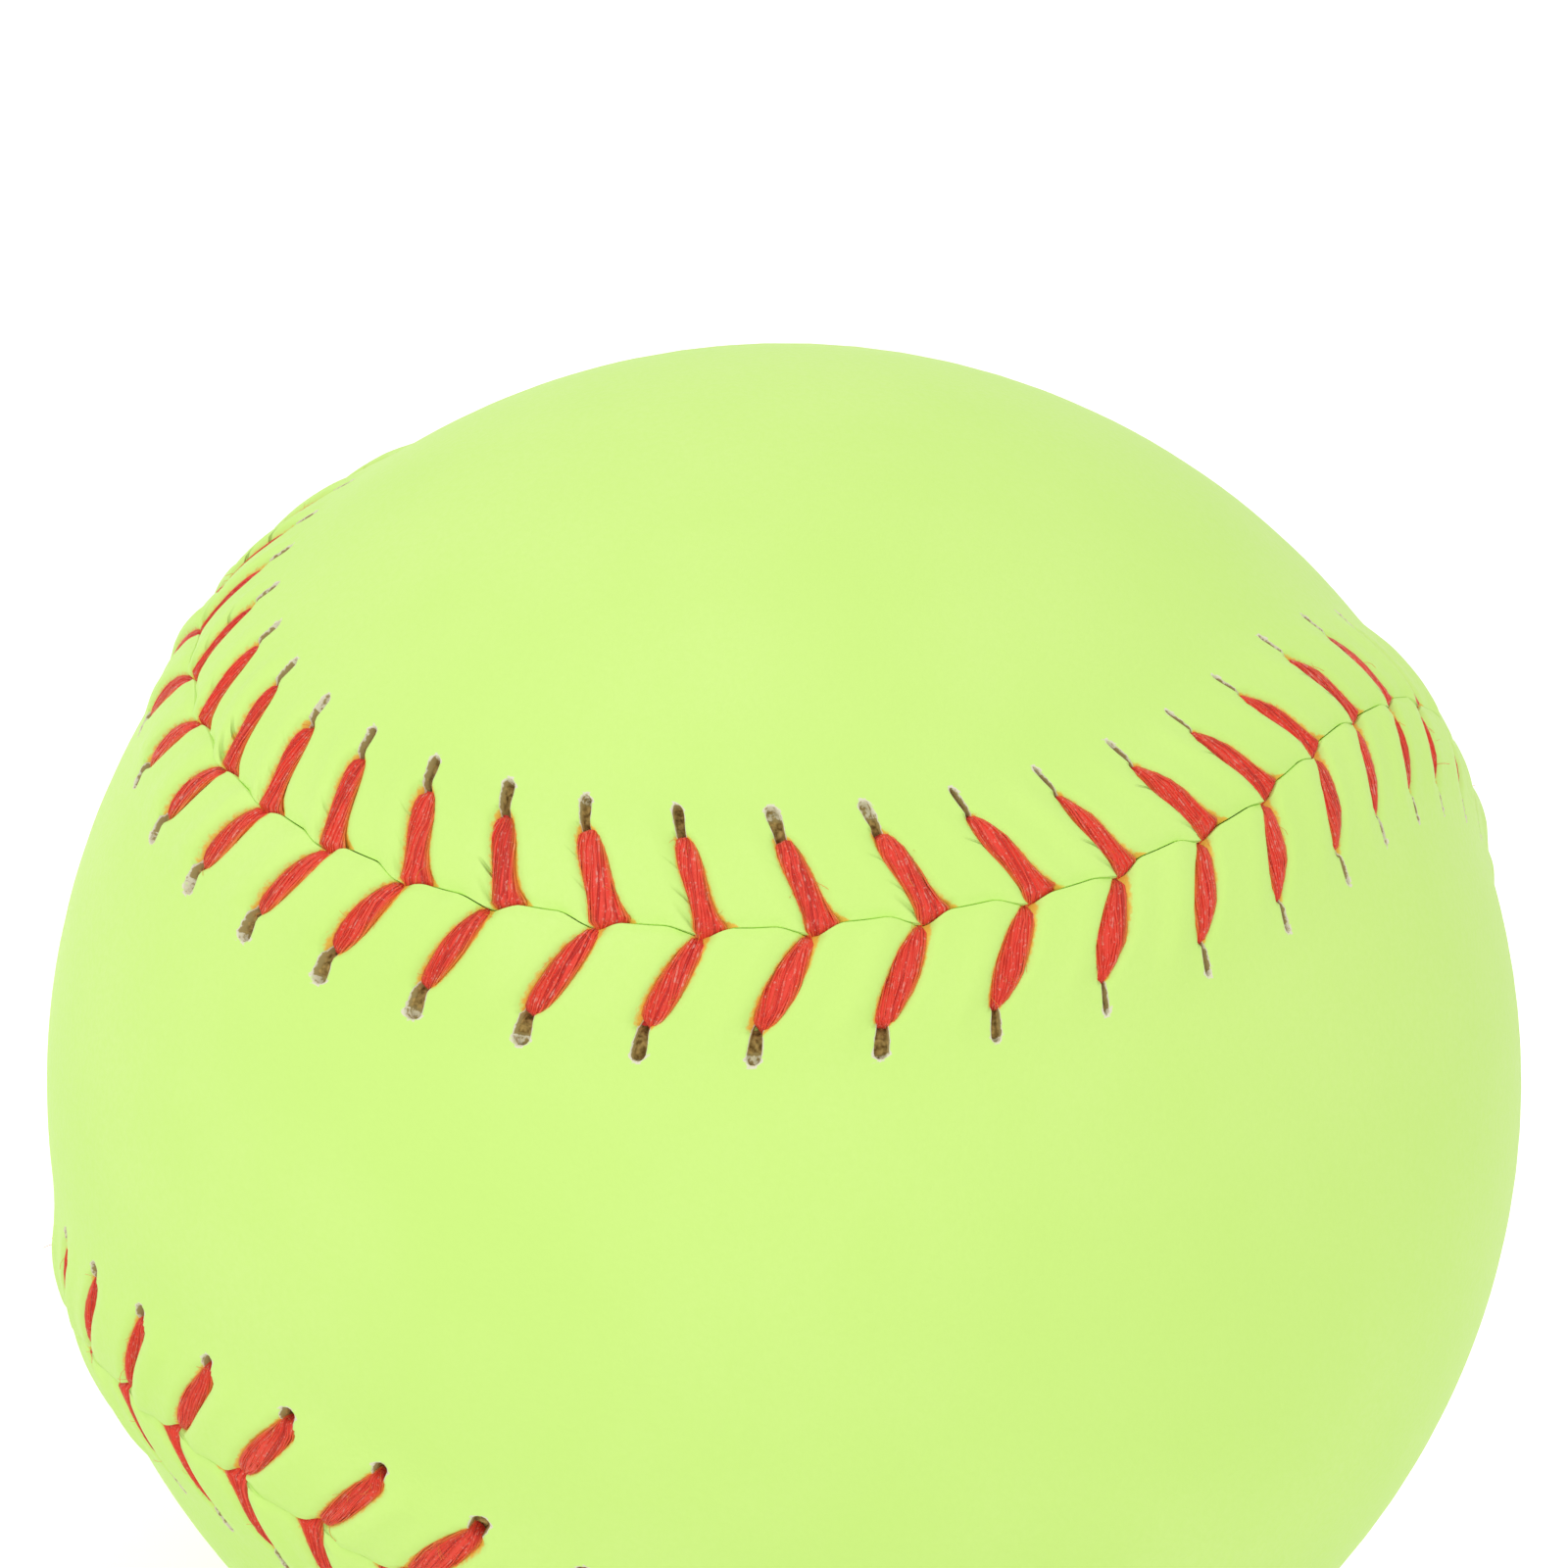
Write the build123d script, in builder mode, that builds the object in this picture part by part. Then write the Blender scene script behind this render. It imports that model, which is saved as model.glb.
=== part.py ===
"""A regulation twelve inch softball: core, yarn winding, two leather panels and two sewing threads.

The origin is the centre of the ball and +Z is up. The seam is four equal arcs, each a circle about the
middle of one lobe of a panel, and it runs tangent from one arc into the next. The front panel has its
lobes left and right and its waist across the front (-Y). The rear panel has its lobes at the top and
bottom and its waist across the back.
"""

import os
from math import acos, atan2, cos, degrees, hypot, radians, sin

from build123d import *

# Ball, in millimetres
ball_diameter = 97.0        # over the cover, clear of the seam
cover_thickness = 1.5       # leather
waist_width = 40.0          # narrowest part of a panel, from seam to seam over the ball
seam_gap = 0.5              # between the edges of the two panels
cement_film = 0.3           # bond line between the winding and the cover
winding_depth = 4.0         # yarn over the core
core_clearance = 0.05       # between the core and the yarn

# Raised edge of a panel, lifted by the thread that runs under it
ridge_margin = 1.9          # from the far end of a slot to where the leather starts to lift
knee_margin = 0.2           # from the thread in a slot to the steepest part of the ridge
edge_drop = 0.08            # from the knee's height down to the seam

# Stitches
stitch_count = 88           # on each panel, and even, so that a thread ends on the side where it began
first_stitch = 2.0          # along the seam, from where the bottom lobe leaves the right one
stitch_lean = 2.8           # along the seam, between the far end of a slot and its leg's seam end
front_lag = 1.15            # front legs enter the seam this far behind the rear legs
slot_reach = 7.1            # from the seam to the far end of a slot
slot_length = 3.3
slot_width = 1.1
slot_point = 0.4            # length of each pointed end that the punch leaves

# Waxed thread, flattened where it is pulled over the leather
thread_clearance = 0.1
leg_width = 1.6             # over the crest of the ridge
leg_thickness = 0.5
crest_reach = 2.6           # from the seam to the crest of a leg
leg_dip = 0.2               # from the crest of a leg down to where it turns into the seam
post_depth = 0.6            # bunched up inside a slot
dive_width = 1.0            # squeezed between the panel edges
under_thickness = 0.4       # under the cover
under_reach = 1.2           # straight across under the panel's edge, before the next slot
tail_gap = 1.2              # between the two ends of one thread, tucked under the cover

# Derived sizes
ball_radius = ball_diameter / 2
cover_bore = ball_radius - cover_thickness
winding_radius = cover_bore - cement_film
core_radius = winding_radius - winding_depth
half_waist = waist_width / ball_diameter
sweep_x = cos(2 * half_waist) + 0.5
sweep_y = sin(2 * half_waist)
lobe_tilt = (acos(0.5 / hypot(sweep_x, sweep_y)) - atan2(sweep_y, sweep_x)) / 2
cap_angle = radians(90) - half_waist - lobe_tilt
arc_turn = radians(360) - 2 * atan2(1, sin(lobe_tilt))
arc_length = arc_turn * ball_radius * sin(cap_angle)
seam_length = 4 * arc_length
stitch_pitch = seam_length / stitch_count
slope = stitch_lean / slot_reach
slot_inner = slot_reach - slot_length * cos(atan2(stitch_lean, slot_reach))
post_reach = slot_inner + slot_point + thread_clearance + post_depth / 2
post_width = slot_width - 2 * thread_clearance
dive_thickness = seam_gap - 2 * thread_clearance
longest_run = hypot(stitch_pitch + front_lag - slope * post_reach, post_reach)
under_sag = longest_run**2 / (8 * winding_radius)
under_radius = winding_radius + thread_clearance + under_sag + under_thickness / 2
ridge_width = slot_reach + ridge_margin
knee_width = post_reach + knee_margin
knee_rise = under_radius + max(post_depth, under_thickness) / 2 + thread_clearance - cover_bore
edge_rise = knee_rise - edge_drop

# Middles of the four lobes, seen from the centre of the ball
centre = Vector(0, 0, 0)
right = Vector(cos(lobe_tilt), sin(lobe_tilt), 0)
left = Vector(-cos(lobe_tilt), sin(lobe_tilt), 0)
top = Vector(0, -sin(lobe_tilt), cos(lobe_tilt))
bottom = Vector(0, -sin(lobe_tilt), -cos(lobe_tilt))

# The seam's arcs in sewing order: the lobe, the lobe beside which the arc starts, and the lobe's panel
FRONT, REAR = 1, -1
seam_arcs = [(bottom, right, REAR), (left, bottom, FRONT), (top, left, REAR), (right, top, FRONT)]


def seam_point(along, across, radius):
    """A point at a distance along the seam and across it, where across is positive on the front panel."""
    arc, distance = divmod(along % seam_length, arc_length)
    lobe, start, panel = seam_arcs[int(arc)]
    outward = (start - lobe * start.dot(lobe)).normalized()
    turned = outward.rotate(Axis(centre, lobe), -panel * degrees(arc_turn * distance / arc_length))
    tilt = cap_angle - panel * across / ball_radius
    return (lobe * cos(tilt) + turned * sin(tilt)) * radius


def seam_entry(panel, stitch):
    """How far along the seam a stitch's leg enters it."""
    return first_stitch + stitch * stitch_pitch - (front_lag if panel == FRONT else 0)


def leg_point(panel, stitch, reach, radius):
    """A point on the line of one stitch's leg, at a distance from the seam."""
    return seam_point(seam_entry(panel, stitch) - slope * reach, panel * reach, radius)


def section_point(across, radius):
    """A point of the cover's cross-section, whose X axis passes through the seam."""
    return (radius * cos(across / ball_radius), radius * sin(across / ball_radius))


def ridge_line(base):
    """One side of the raised edge, from its foot to the seam, on a ball of the given radius."""
    foot = Vector(*section_point(ridge_width, base))
    downhill = foot.rotate(Axis.Z, -90)
    rise = TangentArc(foot, section_point(knee_width, base + knee_rise), tangent=downhill)
    return TangentArc(rise @ 1, section_point(seam_gap / 2, base + edge_rise), tangent=rise % 1)


# Cross-section in the plane of the right and top lobes, drawn flat with the seam along X
section_plane = Plane(centre, x_dir=right + top, z_dir=top.cross(right))
with BuildLine() as ridge_section:
    outer_crest = ridge_line(ball_radius)
    inner_crest = ridge_line(cover_bore)
    Line(outer_crest @ 1, inner_crest @ 1)
ridge_edges = [section_plane.from_local_coords(edge) for edge in ridge_section.edges()]
crest_radius = outer_crest.arc_center.length + outer_crest.radius
slot_depth = crest_radius - cover_bore
leg_radius = crest_radius + thread_clearance + leg_thickness / 2

meridian_turn = (0, 0, 95)  # keeps the poles and the meridian of a sphere off the front panel


def plain_faces(radius):
    """A quarter of the front panel's plain cover at one radius: half a lobe, and a quarter of the waist."""
    ridge_angle = ridge_width / ball_radius
    with BuildPart() as half_lobe:
        Sphere(radius, rotation=meridian_turn)
        split(bisect_by=Plane(right * radius * cos(cap_angle - ridge_angle), z_dir=right), keep=Keep.TOP)
        split(bisect_by=Plane.XY, keep=Keep.TOP)
        split(bisect_by=section_plane, keep=Keep.TOP)
    with BuildPart() as quarter_waist:
        Sphere(radius, rotation=meridian_turn)
        split(bisect_by=Plane(top * radius * cos(cap_angle + ridge_angle), z_dir=top), keep=Keep.BOTTOM)
        split(bisect_by=Plane.XY, keep=Keep.TOP)
        split(bisect_by=Plane.YZ, keep=Keep.TOP)
        split(bisect_by=section_plane, keep=Keep.BOTTOM)
    return (half_lobe.faces() + quarter_waist.faces()).filter_by(GeomType.SPHERE)


# A panel without its slots: the faces of one quarter, mirrored twice and sewn into one solid
half_sweep = degrees(arc_turn) / 2
quarter_skin = plain_faces(ball_radius) + plain_faces(cover_bore)
quarter_skin += [Face.revolve(edge, half_sweep, Axis(centre, -right)) for edge in ridge_edges]
quarter_skin += [Face.revolve(edge, half_sweep, Axis(centre, -top)) for edge in ridge_edges]
half_skin = quarter_skin + [face.mirror(Plane.XY) for face in quarter_skin]
panel_blank = Solid(Shell(half_skin + [face.mirror(Plane.YZ) for face in half_skin]))


def slot_plane(panel, stitch):
    """The plane of one slot, on the cover, with X along the slot."""
    middle = leg_point(panel, stitch, (slot_inner + slot_reach) / 2, ball_radius)
    run = leg_point(panel, stitch, slot_inner, ball_radius) - leg_point(panel, stitch, slot_reach, ball_radius)
    up = middle.normalized()
    return Plane(middle, x_dir=run - up * run.dot(up), z_dir=up)


def slot_outline():
    """One slot as the punch cuts it, with pointed ends."""
    tip = slot_length / 2
    shoulder = tip - slot_point
    side = slot_width / 2
    with BuildLine() as outline:
        Polyline(
            (tip, 0),
            (shoulder, side),
            (-shoulder, side),
            (-tip, 0),
            (-shoulder, -side),
            (shoulder, -side),
            close=True,
        )
    make_face(outline.edges())


with BuildPart() as front_panel:
    add(panel_blank, clean=False)
    with BuildSketch(*[slot_plane(FRONT, stitch) for stitch in range(stitch_count)]):
        slot_outline()
    extrude(amount=slot_depth, both=True, clean=False, mode=Mode.SUBTRACT)

with BuildPart() as rear_panel:
    add(panel_blank.rotate(Axis(centre, (1, 0, 1)), 180), clean=False)
    with BuildSketch(*[slot_plane(REAR, stitch) for stitch in range(stitch_count)]):
        slot_outline()
    extrude(amount=slot_depth, both=True, clean=False, mode=Mode.SUBTRACT)

with BuildPart() as core:
    Sphere(core_radius)

with BuildPart() as winding:
    Sphere(winding_radius)
    Sphere(core_radius + core_clearance, mode=Mode.SUBTRACT)


def thread_route(first_panel):
    """The turns of one thread: a point, the width and depth there, and what the width lies square to."""
    route = []
    for stitch in range(stitch_count):
        panel = first_panel * (-1) ** stitch
        foot = leg_point(panel, stitch, post_reach, under_radius)
        head = leg_point(panel, stitch, post_reach, leg_radius)
        crest = leg_point(panel, stitch, crest_reach, leg_radius)
        lip = leg_point(panel, stitch, 0, leg_radius - leg_dip)
        heel = leg_point(panel, stitch, 0, under_radius)
        turn = seam_point(seam_entry(panel, stitch), -panel * under_reach, under_radius)
        route += [
            (foot, post_width, post_depth, None),
            (head, post_width, post_depth, None),
            (crest, leg_width, leg_thickness, None),
            (lip, dive_width, dive_thickness, turn - heel),
            (heel, dive_width, dive_thickness, turn - heel),
            (turn, dive_width, under_thickness, None),
        ]
    last_run = route[0][0] - route[-1][0]
    middle = route[-1][0] + last_run / 2
    tail = last_run.normalized() * tail_gap / 2
    first_end = (middle + tail, dive_width, under_thickness, None)
    last_end = (middle - tail, dive_width, under_thickness, None)
    return [first_end, *route, last_end]


def thread_rings(first_panel):
    """The corners of one thread's mitred sections, each in step with the section before it."""
    route = thread_route(first_panel)
    points = [point for point, *_ in route]
    runs = [(after - before).normalized() for before, after in zip(points, points[1:])]
    rings = []
    for arriving, leaving, (point, width, depth, heading) in zip(runs[:1] + runs, runs + runs[-1:], route):
        forward = (arriving + leaving).normalized()
        flat = point.cross(heading or forward)
        flat = (flat - forward * flat.dot(forward)).normalized() * width / 2
        deep = forward.cross(flat).normalized() * depth / 2 / forward.dot(leaving)
        ring = [point + flat + deep, point - flat + deep, point - flat - deep, point + flat - deep]
        if rings:
            turned = [ring[shift:] + ring[:shift] for shift in range(4)]
            ring = min(turned, key=lambda corners: sum((a - b).length for a, b in zip(corners, rings[-1])))
        rings.append(ring)
    return rings


def thread_solid(first_panel):
    """One thread, with ruled faces from each section to the next."""
    rings = thread_rings(first_panel)
    faces = [Face(Wire.make_polygon(ring)) for ring in (rings[0], rings[-1])]
    for before, after in zip(rings, rings[1:]):
        for corner in range(4):
            edge = Edge.make_line(before[corner - 1], before[corner])
            next_edge = Edge.make_line(after[corner - 1], after[corner])
            faces.append(Face.make_surface_from_curves(edge, next_edge))
    return Solid(Shell(faces))


with BuildPart() as first_thread:
    add(thread_solid(FRONT), clean=False)

with BuildPart() as second_thread:
    add(thread_solid(REAR), clean=False)

# One file for each piece
os.makedirs("parts", exist_ok=True)
core.part.label = "core"
export_step(core.part, "parts/core.step")
winding.part.label = "winding"
export_step(winding.part, "parts/winding.step")
front_panel.part.label = "front_panel"
export_step(front_panel.part, "parts/front_panel.step")
rear_panel.part.label = "rear_panel"
export_step(rear_panel.part, "parts/rear_panel.step")
first_thread.part.label = "first_thread"
export_step(first_thread.part, "parts/first_thread.step")
second_thread.part.label = "second_thread"
export_step(second_thread.part, "parts/second_thread.step")
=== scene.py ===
"""Softball in optic yellow leather with a raised herringbone seam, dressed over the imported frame.

The seam is four equal arcs, each a circle about the middle of one lobe of a panel. Every sewn detail is
placed by its distance along that seam and across it. Sizes are in millimetres, in the frame of the solids,
and they become metres when a mesh is made.
"""

import logging
import math
from dataclasses import dataclass
from enum import Enum
from functools import cached_property
from typing import Any

import bmesh
import bpy
import numpy as np
from mathutils import Matrix, Vector

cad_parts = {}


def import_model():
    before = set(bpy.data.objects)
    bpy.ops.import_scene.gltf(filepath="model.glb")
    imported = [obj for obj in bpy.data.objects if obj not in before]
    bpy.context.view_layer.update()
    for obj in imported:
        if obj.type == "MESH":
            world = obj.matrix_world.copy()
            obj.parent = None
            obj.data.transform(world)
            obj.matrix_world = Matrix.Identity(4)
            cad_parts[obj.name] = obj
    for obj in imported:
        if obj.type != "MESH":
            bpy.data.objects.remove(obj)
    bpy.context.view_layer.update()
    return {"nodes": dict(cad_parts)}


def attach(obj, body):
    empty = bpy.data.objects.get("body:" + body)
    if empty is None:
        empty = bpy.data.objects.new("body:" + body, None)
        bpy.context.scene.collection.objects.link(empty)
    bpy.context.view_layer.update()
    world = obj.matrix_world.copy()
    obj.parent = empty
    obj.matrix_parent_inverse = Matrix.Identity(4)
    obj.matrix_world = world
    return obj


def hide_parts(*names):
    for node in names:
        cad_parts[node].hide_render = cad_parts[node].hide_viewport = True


MM = 0.001
TURN = 2.0 * math.pi
LOG = logging.getLogger("softball")

Colour = tuple[float, float, float, float]
Place = tuple[float, float, float]
Span = tuple[float, float]
Socket = bpy.types.NodeSocket

WHITE: Colour = (1.0, 1.0, 1.0, 1.0)


class Panel(Enum):
    """The two cover panels. The value is the sign of a distance across the seam."""

    FRONT = 1
    REAR = -1


class Pocket(Enum):
    """What a point of the leather is, as the level that the leather's finish reads."""

    SURFACE = 0.0
    HALO = 0.24
    RIM = 0.3
    PALE_END = 0.36
    FLOOR = 1.0


class SocketKind(Enum):
    """Kinds of input and output of a node tree, with Blender's names for them."""

    NUMBER = "NodeSocketFloat"
    COUNT = "NodeSocketInt"
    VECTOR = "NodeSocketVector"
    GEOMETRY = "NodeSocketGeometry"
    MATERIAL = "NodeSocketMaterial"


def ease(low: Any, high: Any, value: Any) -> Any:
    """Smooth step from 0 at low to 1 at high.

    Args:
        low: Where the step starts.
        high: Where the step ends.
        value: A number or an array.

    Returns:
        The step at each value.
    """
    share = np.clip((value - low) / (high - low), 0.0, 1.0)
    return share * share * (3.0 - 2.0 * share)


def unit(vectors: np.ndarray) -> np.ndarray:
    """Vectors of length one, along the last axis."""
    return vectors / np.linalg.norm(vectors, axis=-1, keepdims=True)


@dataclass(frozen=True)
class Seam:
    """The closed seam of the ball, and where the stitches enter it."""

    ball_radius: float = 48.5
    waist_width: float = 40.0
    stitch_count: int = 88
    first_stitch: float = 2.0
    front_lag: float = 1.15

    @cached_property
    def half_waist(self) -> float:
        """Angle from the middle of a waist to the seam."""
        return self.waist_width / (2.0 * self.ball_radius)

    @cached_property
    def lobe_tilt(self) -> float:
        """Angle by which the lobes lean away from the X and Z axes, so that the arcs run tangent.

        Returns:
            The angle in radians.
        """
        sweep_x = math.cos(2.0 * self.half_waist) + 0.5
        sweep_y = math.sin(2.0 * self.half_waist)
        return (math.acos(0.5 / math.hypot(sweep_x, sweep_y)) - math.atan2(sweep_y, sweep_x)) / 2.0

    @cached_property
    def cap_angle(self) -> float:
        """Angle from the middle of a lobe to the seam."""
        return math.pi / 2.0 - self.half_waist - self.lobe_tilt

    @cached_property
    def arc_turn(self) -> float:
        """Angle that the seam turns round one lobe."""
        return TURN - 2.0 * math.atan2(1.0, math.sin(self.lobe_tilt))

    @cached_property
    def arc_length(self) -> float:
        """Length of one of the four arcs."""
        return self.arc_turn * self.ball_radius * math.sin(self.cap_angle)

    @cached_property
    def length(self) -> float:
        """Length of the whole seam."""
        return 4.0 * self.arc_length

    @cached_property
    def pitch(self) -> float:
        """Distance from one stitch to the next."""
        return self.length / self.stitch_count

    @cached_property
    def arcs(self) -> tuple[np.ndarray, np.ndarray, np.ndarray, np.ndarray]:
        """The four arcs, in sewing order.

        Returns:
            Lobe, start direction, sideways direction and panel sign of each arc.
        """
        near, far = math.sin(self.lobe_tilt), math.cos(self.lobe_tilt)
        right, left = np.array([far, near, 0.0]), np.array([-far, near, 0.0])
        top, bottom = np.array([0.0, -near, far]), np.array([0.0, -near, -far])
        lobes = np.array([bottom, left, top, right])
        starts = np.array([right, bottom, left, top])
        signs = np.array([Panel.REAR.value, Panel.FRONT.value, Panel.REAR.value, Panel.FRONT.value])
        outward = unit(starts - lobes * np.sum(lobes * starts, axis=1, keepdims=True))
        return lobes, outward, np.cross(lobes, outward), signs

    def polar(self, along: np.ndarray) -> tuple[np.ndarray, np.ndarray, np.ndarray]:
        """Polar frame of points on the seam.

        Args:
            along: Distances along the seam.

        Returns:
            The lobe that the seam turns round there, the direction from the lobe to the seam, and the sign of
            the lobe's panel.
        """
        lobes, outward, sideways, signs = self.arcs
        share = np.mod(along, self.length) / self.arc_length
        arc = np.minimum(share.astype(int), len(lobes) - 1)
        angle = -signs[arc] * self.arc_turn * (share - arc)
        turned = outward[arc] * np.cos(angle)[..., None] + sideways[arc] * np.sin(angle)[..., None]
        return lobes[arc], turned, signs[arc]

    def points(self, along: np.ndarray, across: np.ndarray, radius: np.ndarray) -> np.ndarray:
        """Points near the seam.

        Args:
            along: Distances along the seam.
            across: Distances across it, positive on the front panel.
            radius: Distances from the centre of the ball.

        Returns:
            The points, with their coordinates in the last axis.
        """
        along, across, radius = np.broadcast_arrays(along, across, radius)
        lobe, turned, sign = self.polar(along)
        tilt = self.cap_angle - sign * across / self.ball_radius
        return (lobe * np.cos(tilt)[..., None] + turned * np.sin(tilt)[..., None]) * radius[..., None]

    def spine_reach(self, along: np.ndarray, panel: Panel) -> np.ndarray:
        """Distance over the ball from the seam to the middle line of a panel.

        Args:
            along: Distances along the seam.
            panel: The panel that is crossed.

        Returns:
            One distance for each point of the seam.
        """
        lobe, turned, sign = self.polar(along)
        axis = 2 if panel is Panel.FRONT else 0
        spine = np.arctan2(np.abs(lobe[..., axis]), -turned[..., axis] * np.sign(lobe[..., axis]))
        reach = np.where(sign == panel.value, self.cap_angle, spine - self.cap_angle)
        return reach * self.ball_radius

    def entry(self, panel: Panel, stitch: Any) -> Any:
        """How far along the seam a stitch's leg enters it."""
        return self.first_stitch + stitch * self.pitch - (self.front_lag if panel is Panel.FRONT else 0.0)


@dataclass(frozen=True)
class LegShape:
    """The visible leg of a stitch, from inside its slot to inside the seam, and how leg and slot lie."""

    reach: tuple[float, ...]
    lift: tuple[float, ...]
    half_width: tuple[float, ...]
    half_depth: tuple[float, ...]
    base_turn: float
    seam_end: float
    leg_lean: float
    slot_lean: float
    leg_end: float = 5.4

    def offset(self, reach: Any) -> Any:
        """Distance along the seam from where the stitch enters it to its line at a reach."""
        leg, slot = np.minimum(reach, self.leg_end), np.maximum(reach - self.leg_end, 0.0)
        return self.seam_end - self.leg_lean * leg - self.slot_lean * slot

    def breadth(self, reach: Any) -> Any:
        """Half the leg's width at a reach."""
        return np.interp(reach, self.reach[::-1], self.half_width[::-1])


LEGS: dict[Panel, LegShape] = {
    Panel.REAR: LegShape(
        reach=(5.42, 5.38, 5.22, 4.8, 4.2, 3.4, 2.6, 1.8, 1.0, 0.35, -0.05),
        lift=(-1.10, -0.66, -0.45, -0.37, -0.34, -0.33, -0.33, -0.33, -0.31, -0.31, -0.80),
        half_width=(0.34, 0.38, 0.44, 0.56, 0.66, 0.70, 0.68, 0.65, 0.70, 0.86, 0.84),
        half_depth=(0.14, 0.16, 0.18, 0.20, 0.21, 0.21, 0.21, 0.21, 0.20, 0.18, 0.14),
        base_turn=-0.24,
        seam_end=0.25,
        leg_lean=0.454,
        slot_lean=0.30,
    ),
    Panel.FRONT: LegShape(
        reach=(5.42, 5.38, 5.22, 4.8, 4.2, 3.4, 2.6, 1.8, 1.0, 0.40, 0.05),
        lift=(-1.10, -0.66, -0.45, -0.37, -0.34, -0.33, -0.33, -0.34, -0.38, -0.50, -0.90),
        half_width=(0.34, 0.38, 0.45, 0.58, 0.68, 0.74, 0.72, 0.62, 0.48, 0.38, 0.32),
        half_depth=(0.14, 0.16, 0.18, 0.21, 0.22, 0.22, 0.22, 0.21, 0.20, 0.17, 0.14),
        base_turn=0.0,
        seam_end=0.55,
        leg_lean=0.54,
        slot_lean=0.12,
    ),
}


@dataclass
class SewnRelief:
    """What the thread does to the leather: raised edges, pressed legs, a wandering seam, uneven stitches.

    A span holds the start and end of a smooth step. A draw holds the limits of a random share, of which each
    stitch has its own.
    """

    seam: Seam
    seed: int = 41
    ridge_rise: float = 0.84
    ridge_span: Span = (1.7, 9.2)
    edge_roll: float = 0.22
    edge_width: float = 0.45
    press: float = 0.58
    press_left: Span = (-0.20, 0.30)
    press_right: Span = (-0.45, 0.80)
    press_past: Span = (-0.3, 0.9)
    pillow: float = 0.24
    pillow_skew: float = 1.0
    pillow_span: Span = (4.5, 8.0)
    pillow_draw: Span = (0.6, 1.4)
    wander: float = 0.52
    wander_reach: float = 3.4
    wander_down: Span = (0.02, 0.30)
    wander_up: Span = (0.66, 1.0)
    wander_draw: Span = (0.65, 1.3)
    seam_sway: float = 0.30
    slot_sway: float = 0.26
    width_draw: Span = (0.92, 1.24)
    slot_draw: Span = (0.75, 1.05)
    creases: int = 3
    tail_reach: float = 0.45
    tail_length: float = 0.40
    stain_shift: float = 0.06
    stretch_ends: float = 2.5
    shut_stitches: Span = (60.5, 76.0)
    shut_share: float = 0.6
    shut_taper: float = 0.55
    taper_span: Span = (3.2, 5.4)
    long_stitches: Span = (6.5, 17.5)
    long_reach: float = 0.8
    long_span: Span = (2.0, 5.0)

    def __post_init__(self) -> None:
        """Draw the small differences between one stitch and the next."""
        count = self.seam.stitch_count
        draw = np.random.default_rng(self.seed)
        self.shut = self.stretch(self.shut_stitches)
        self.extra_reach = {
            Panel.FRONT: self.long_reach * self.stretch(self.long_stitches),
            Panel.REAR: np.zeros(count),
        }
        self.wander_share = draw.uniform(*self.wander_draw, count)
        self.crease_share = np.square(draw.uniform(0.0, 1.0, (count, self.creases)))
        self.pillow_share = {panel: draw.uniform(*self.pillow_draw, count) for panel in Panel}
        self.width_share = {panel: draw.uniform(*self.width_draw, count) for panel in Panel}
        still_open = 1.0 - self.shut_share * self.shut
        self.slot_share = {panel: draw.uniform(*self.slot_draw, count) * still_open for panel in Panel}
        size = np.array([[self.seam_sway], [self.slot_sway]])
        self.sways = {panel: draw.uniform(-1.0, 1.0, (2, count)) * size for panel in Panel}
        self.pale_share = {panel: np.square(draw.uniform(0.0, 1.0, count)) for panel in Panel}

    def stretch(self, ends: Span) -> np.ndarray:
        """Share of each stitch in a stretch of the seam.

        Args:
            ends: First and last stitch of the stretch.

        Returns:
            1 for stitches inside, easing to 0 at the ends.
        """
        first, last = ends
        numbers = np.arange(self.seam.stitch_count)
        started = ease(first, first + self.stretch_ends, numbers)
        return started * (1.0 - ease(last - self.stretch_ends, last, numbers))

    def ridge(self, reach: Any) -> Any:
        """Height of the raised edge at a distance from the seam, before the stitches press it."""
        rise = self.ridge_rise * (1.0 - ease(*self.ridge_span, reach))
        return rise - self.edge_roll * np.exp(-np.square(reach / self.edge_width))

    def seam_shift(self, along: np.ndarray) -> np.ndarray:
        """How far the seam wanders to the front panel, pulled up and down by the stitches.

        Args:
            along: Distances along the seam.

        Returns:
            The shift at each of them.
        """
        seam = self.seam
        place = (along - seam.entry(Panel.FRONT, 0) - LEGS[Panel.FRONT].seam_end) / seam.pitch
        stitch = np.floor(place).astype(int)
        share = place - stitch
        size = self.wander * self.wander_share[np.mod(stitch, seam.stitch_count)]
        plateau = ease(*self.wander_down, share) - ease(*self.wander_up, share)
        return 0.5 * self.wander - size * plateau

    def shifted(self, along: np.ndarray, reach: np.ndarray, panel: Panel) -> np.ndarray:
        """Distance across the nominal seam of a point that lies at a reach from the real one."""
        return panel.value * reach + self.seam_shift(along) * (1.0 - ease(0.0, self.wander_reach, reach))

    def sway(self, panel: Panel, stitch: Any, reach: Any) -> Any:
        """How far a stitch's line strays along the seam.

        Args:
            panel: The panel.
            stitch: One stitch, or the stitch of each point.
            reach: Distance from the seam.

        Returns:
            The stray at each reach.
        """
        share = np.clip(reach / LEGS[panel].leg_end, 0.0, 1.0)
        near, far = self.sways[panel][:, stitch]
        return near * (1.0 - share) + far * share

    def half_width(self, panel: Panel, stitch: Any, reach: Any) -> Any:
        """Half the width of a stitch's leg at a reach: legs narrow towards slots that are drawn shut."""
        narrowed = 1.0 - self.shut_taper * self.shut[stitch] * ease(*self.taper_span, reach)
        return LEGS[panel].breadth(reach) * self.width_share[panel][stitch] * narrowed

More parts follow.
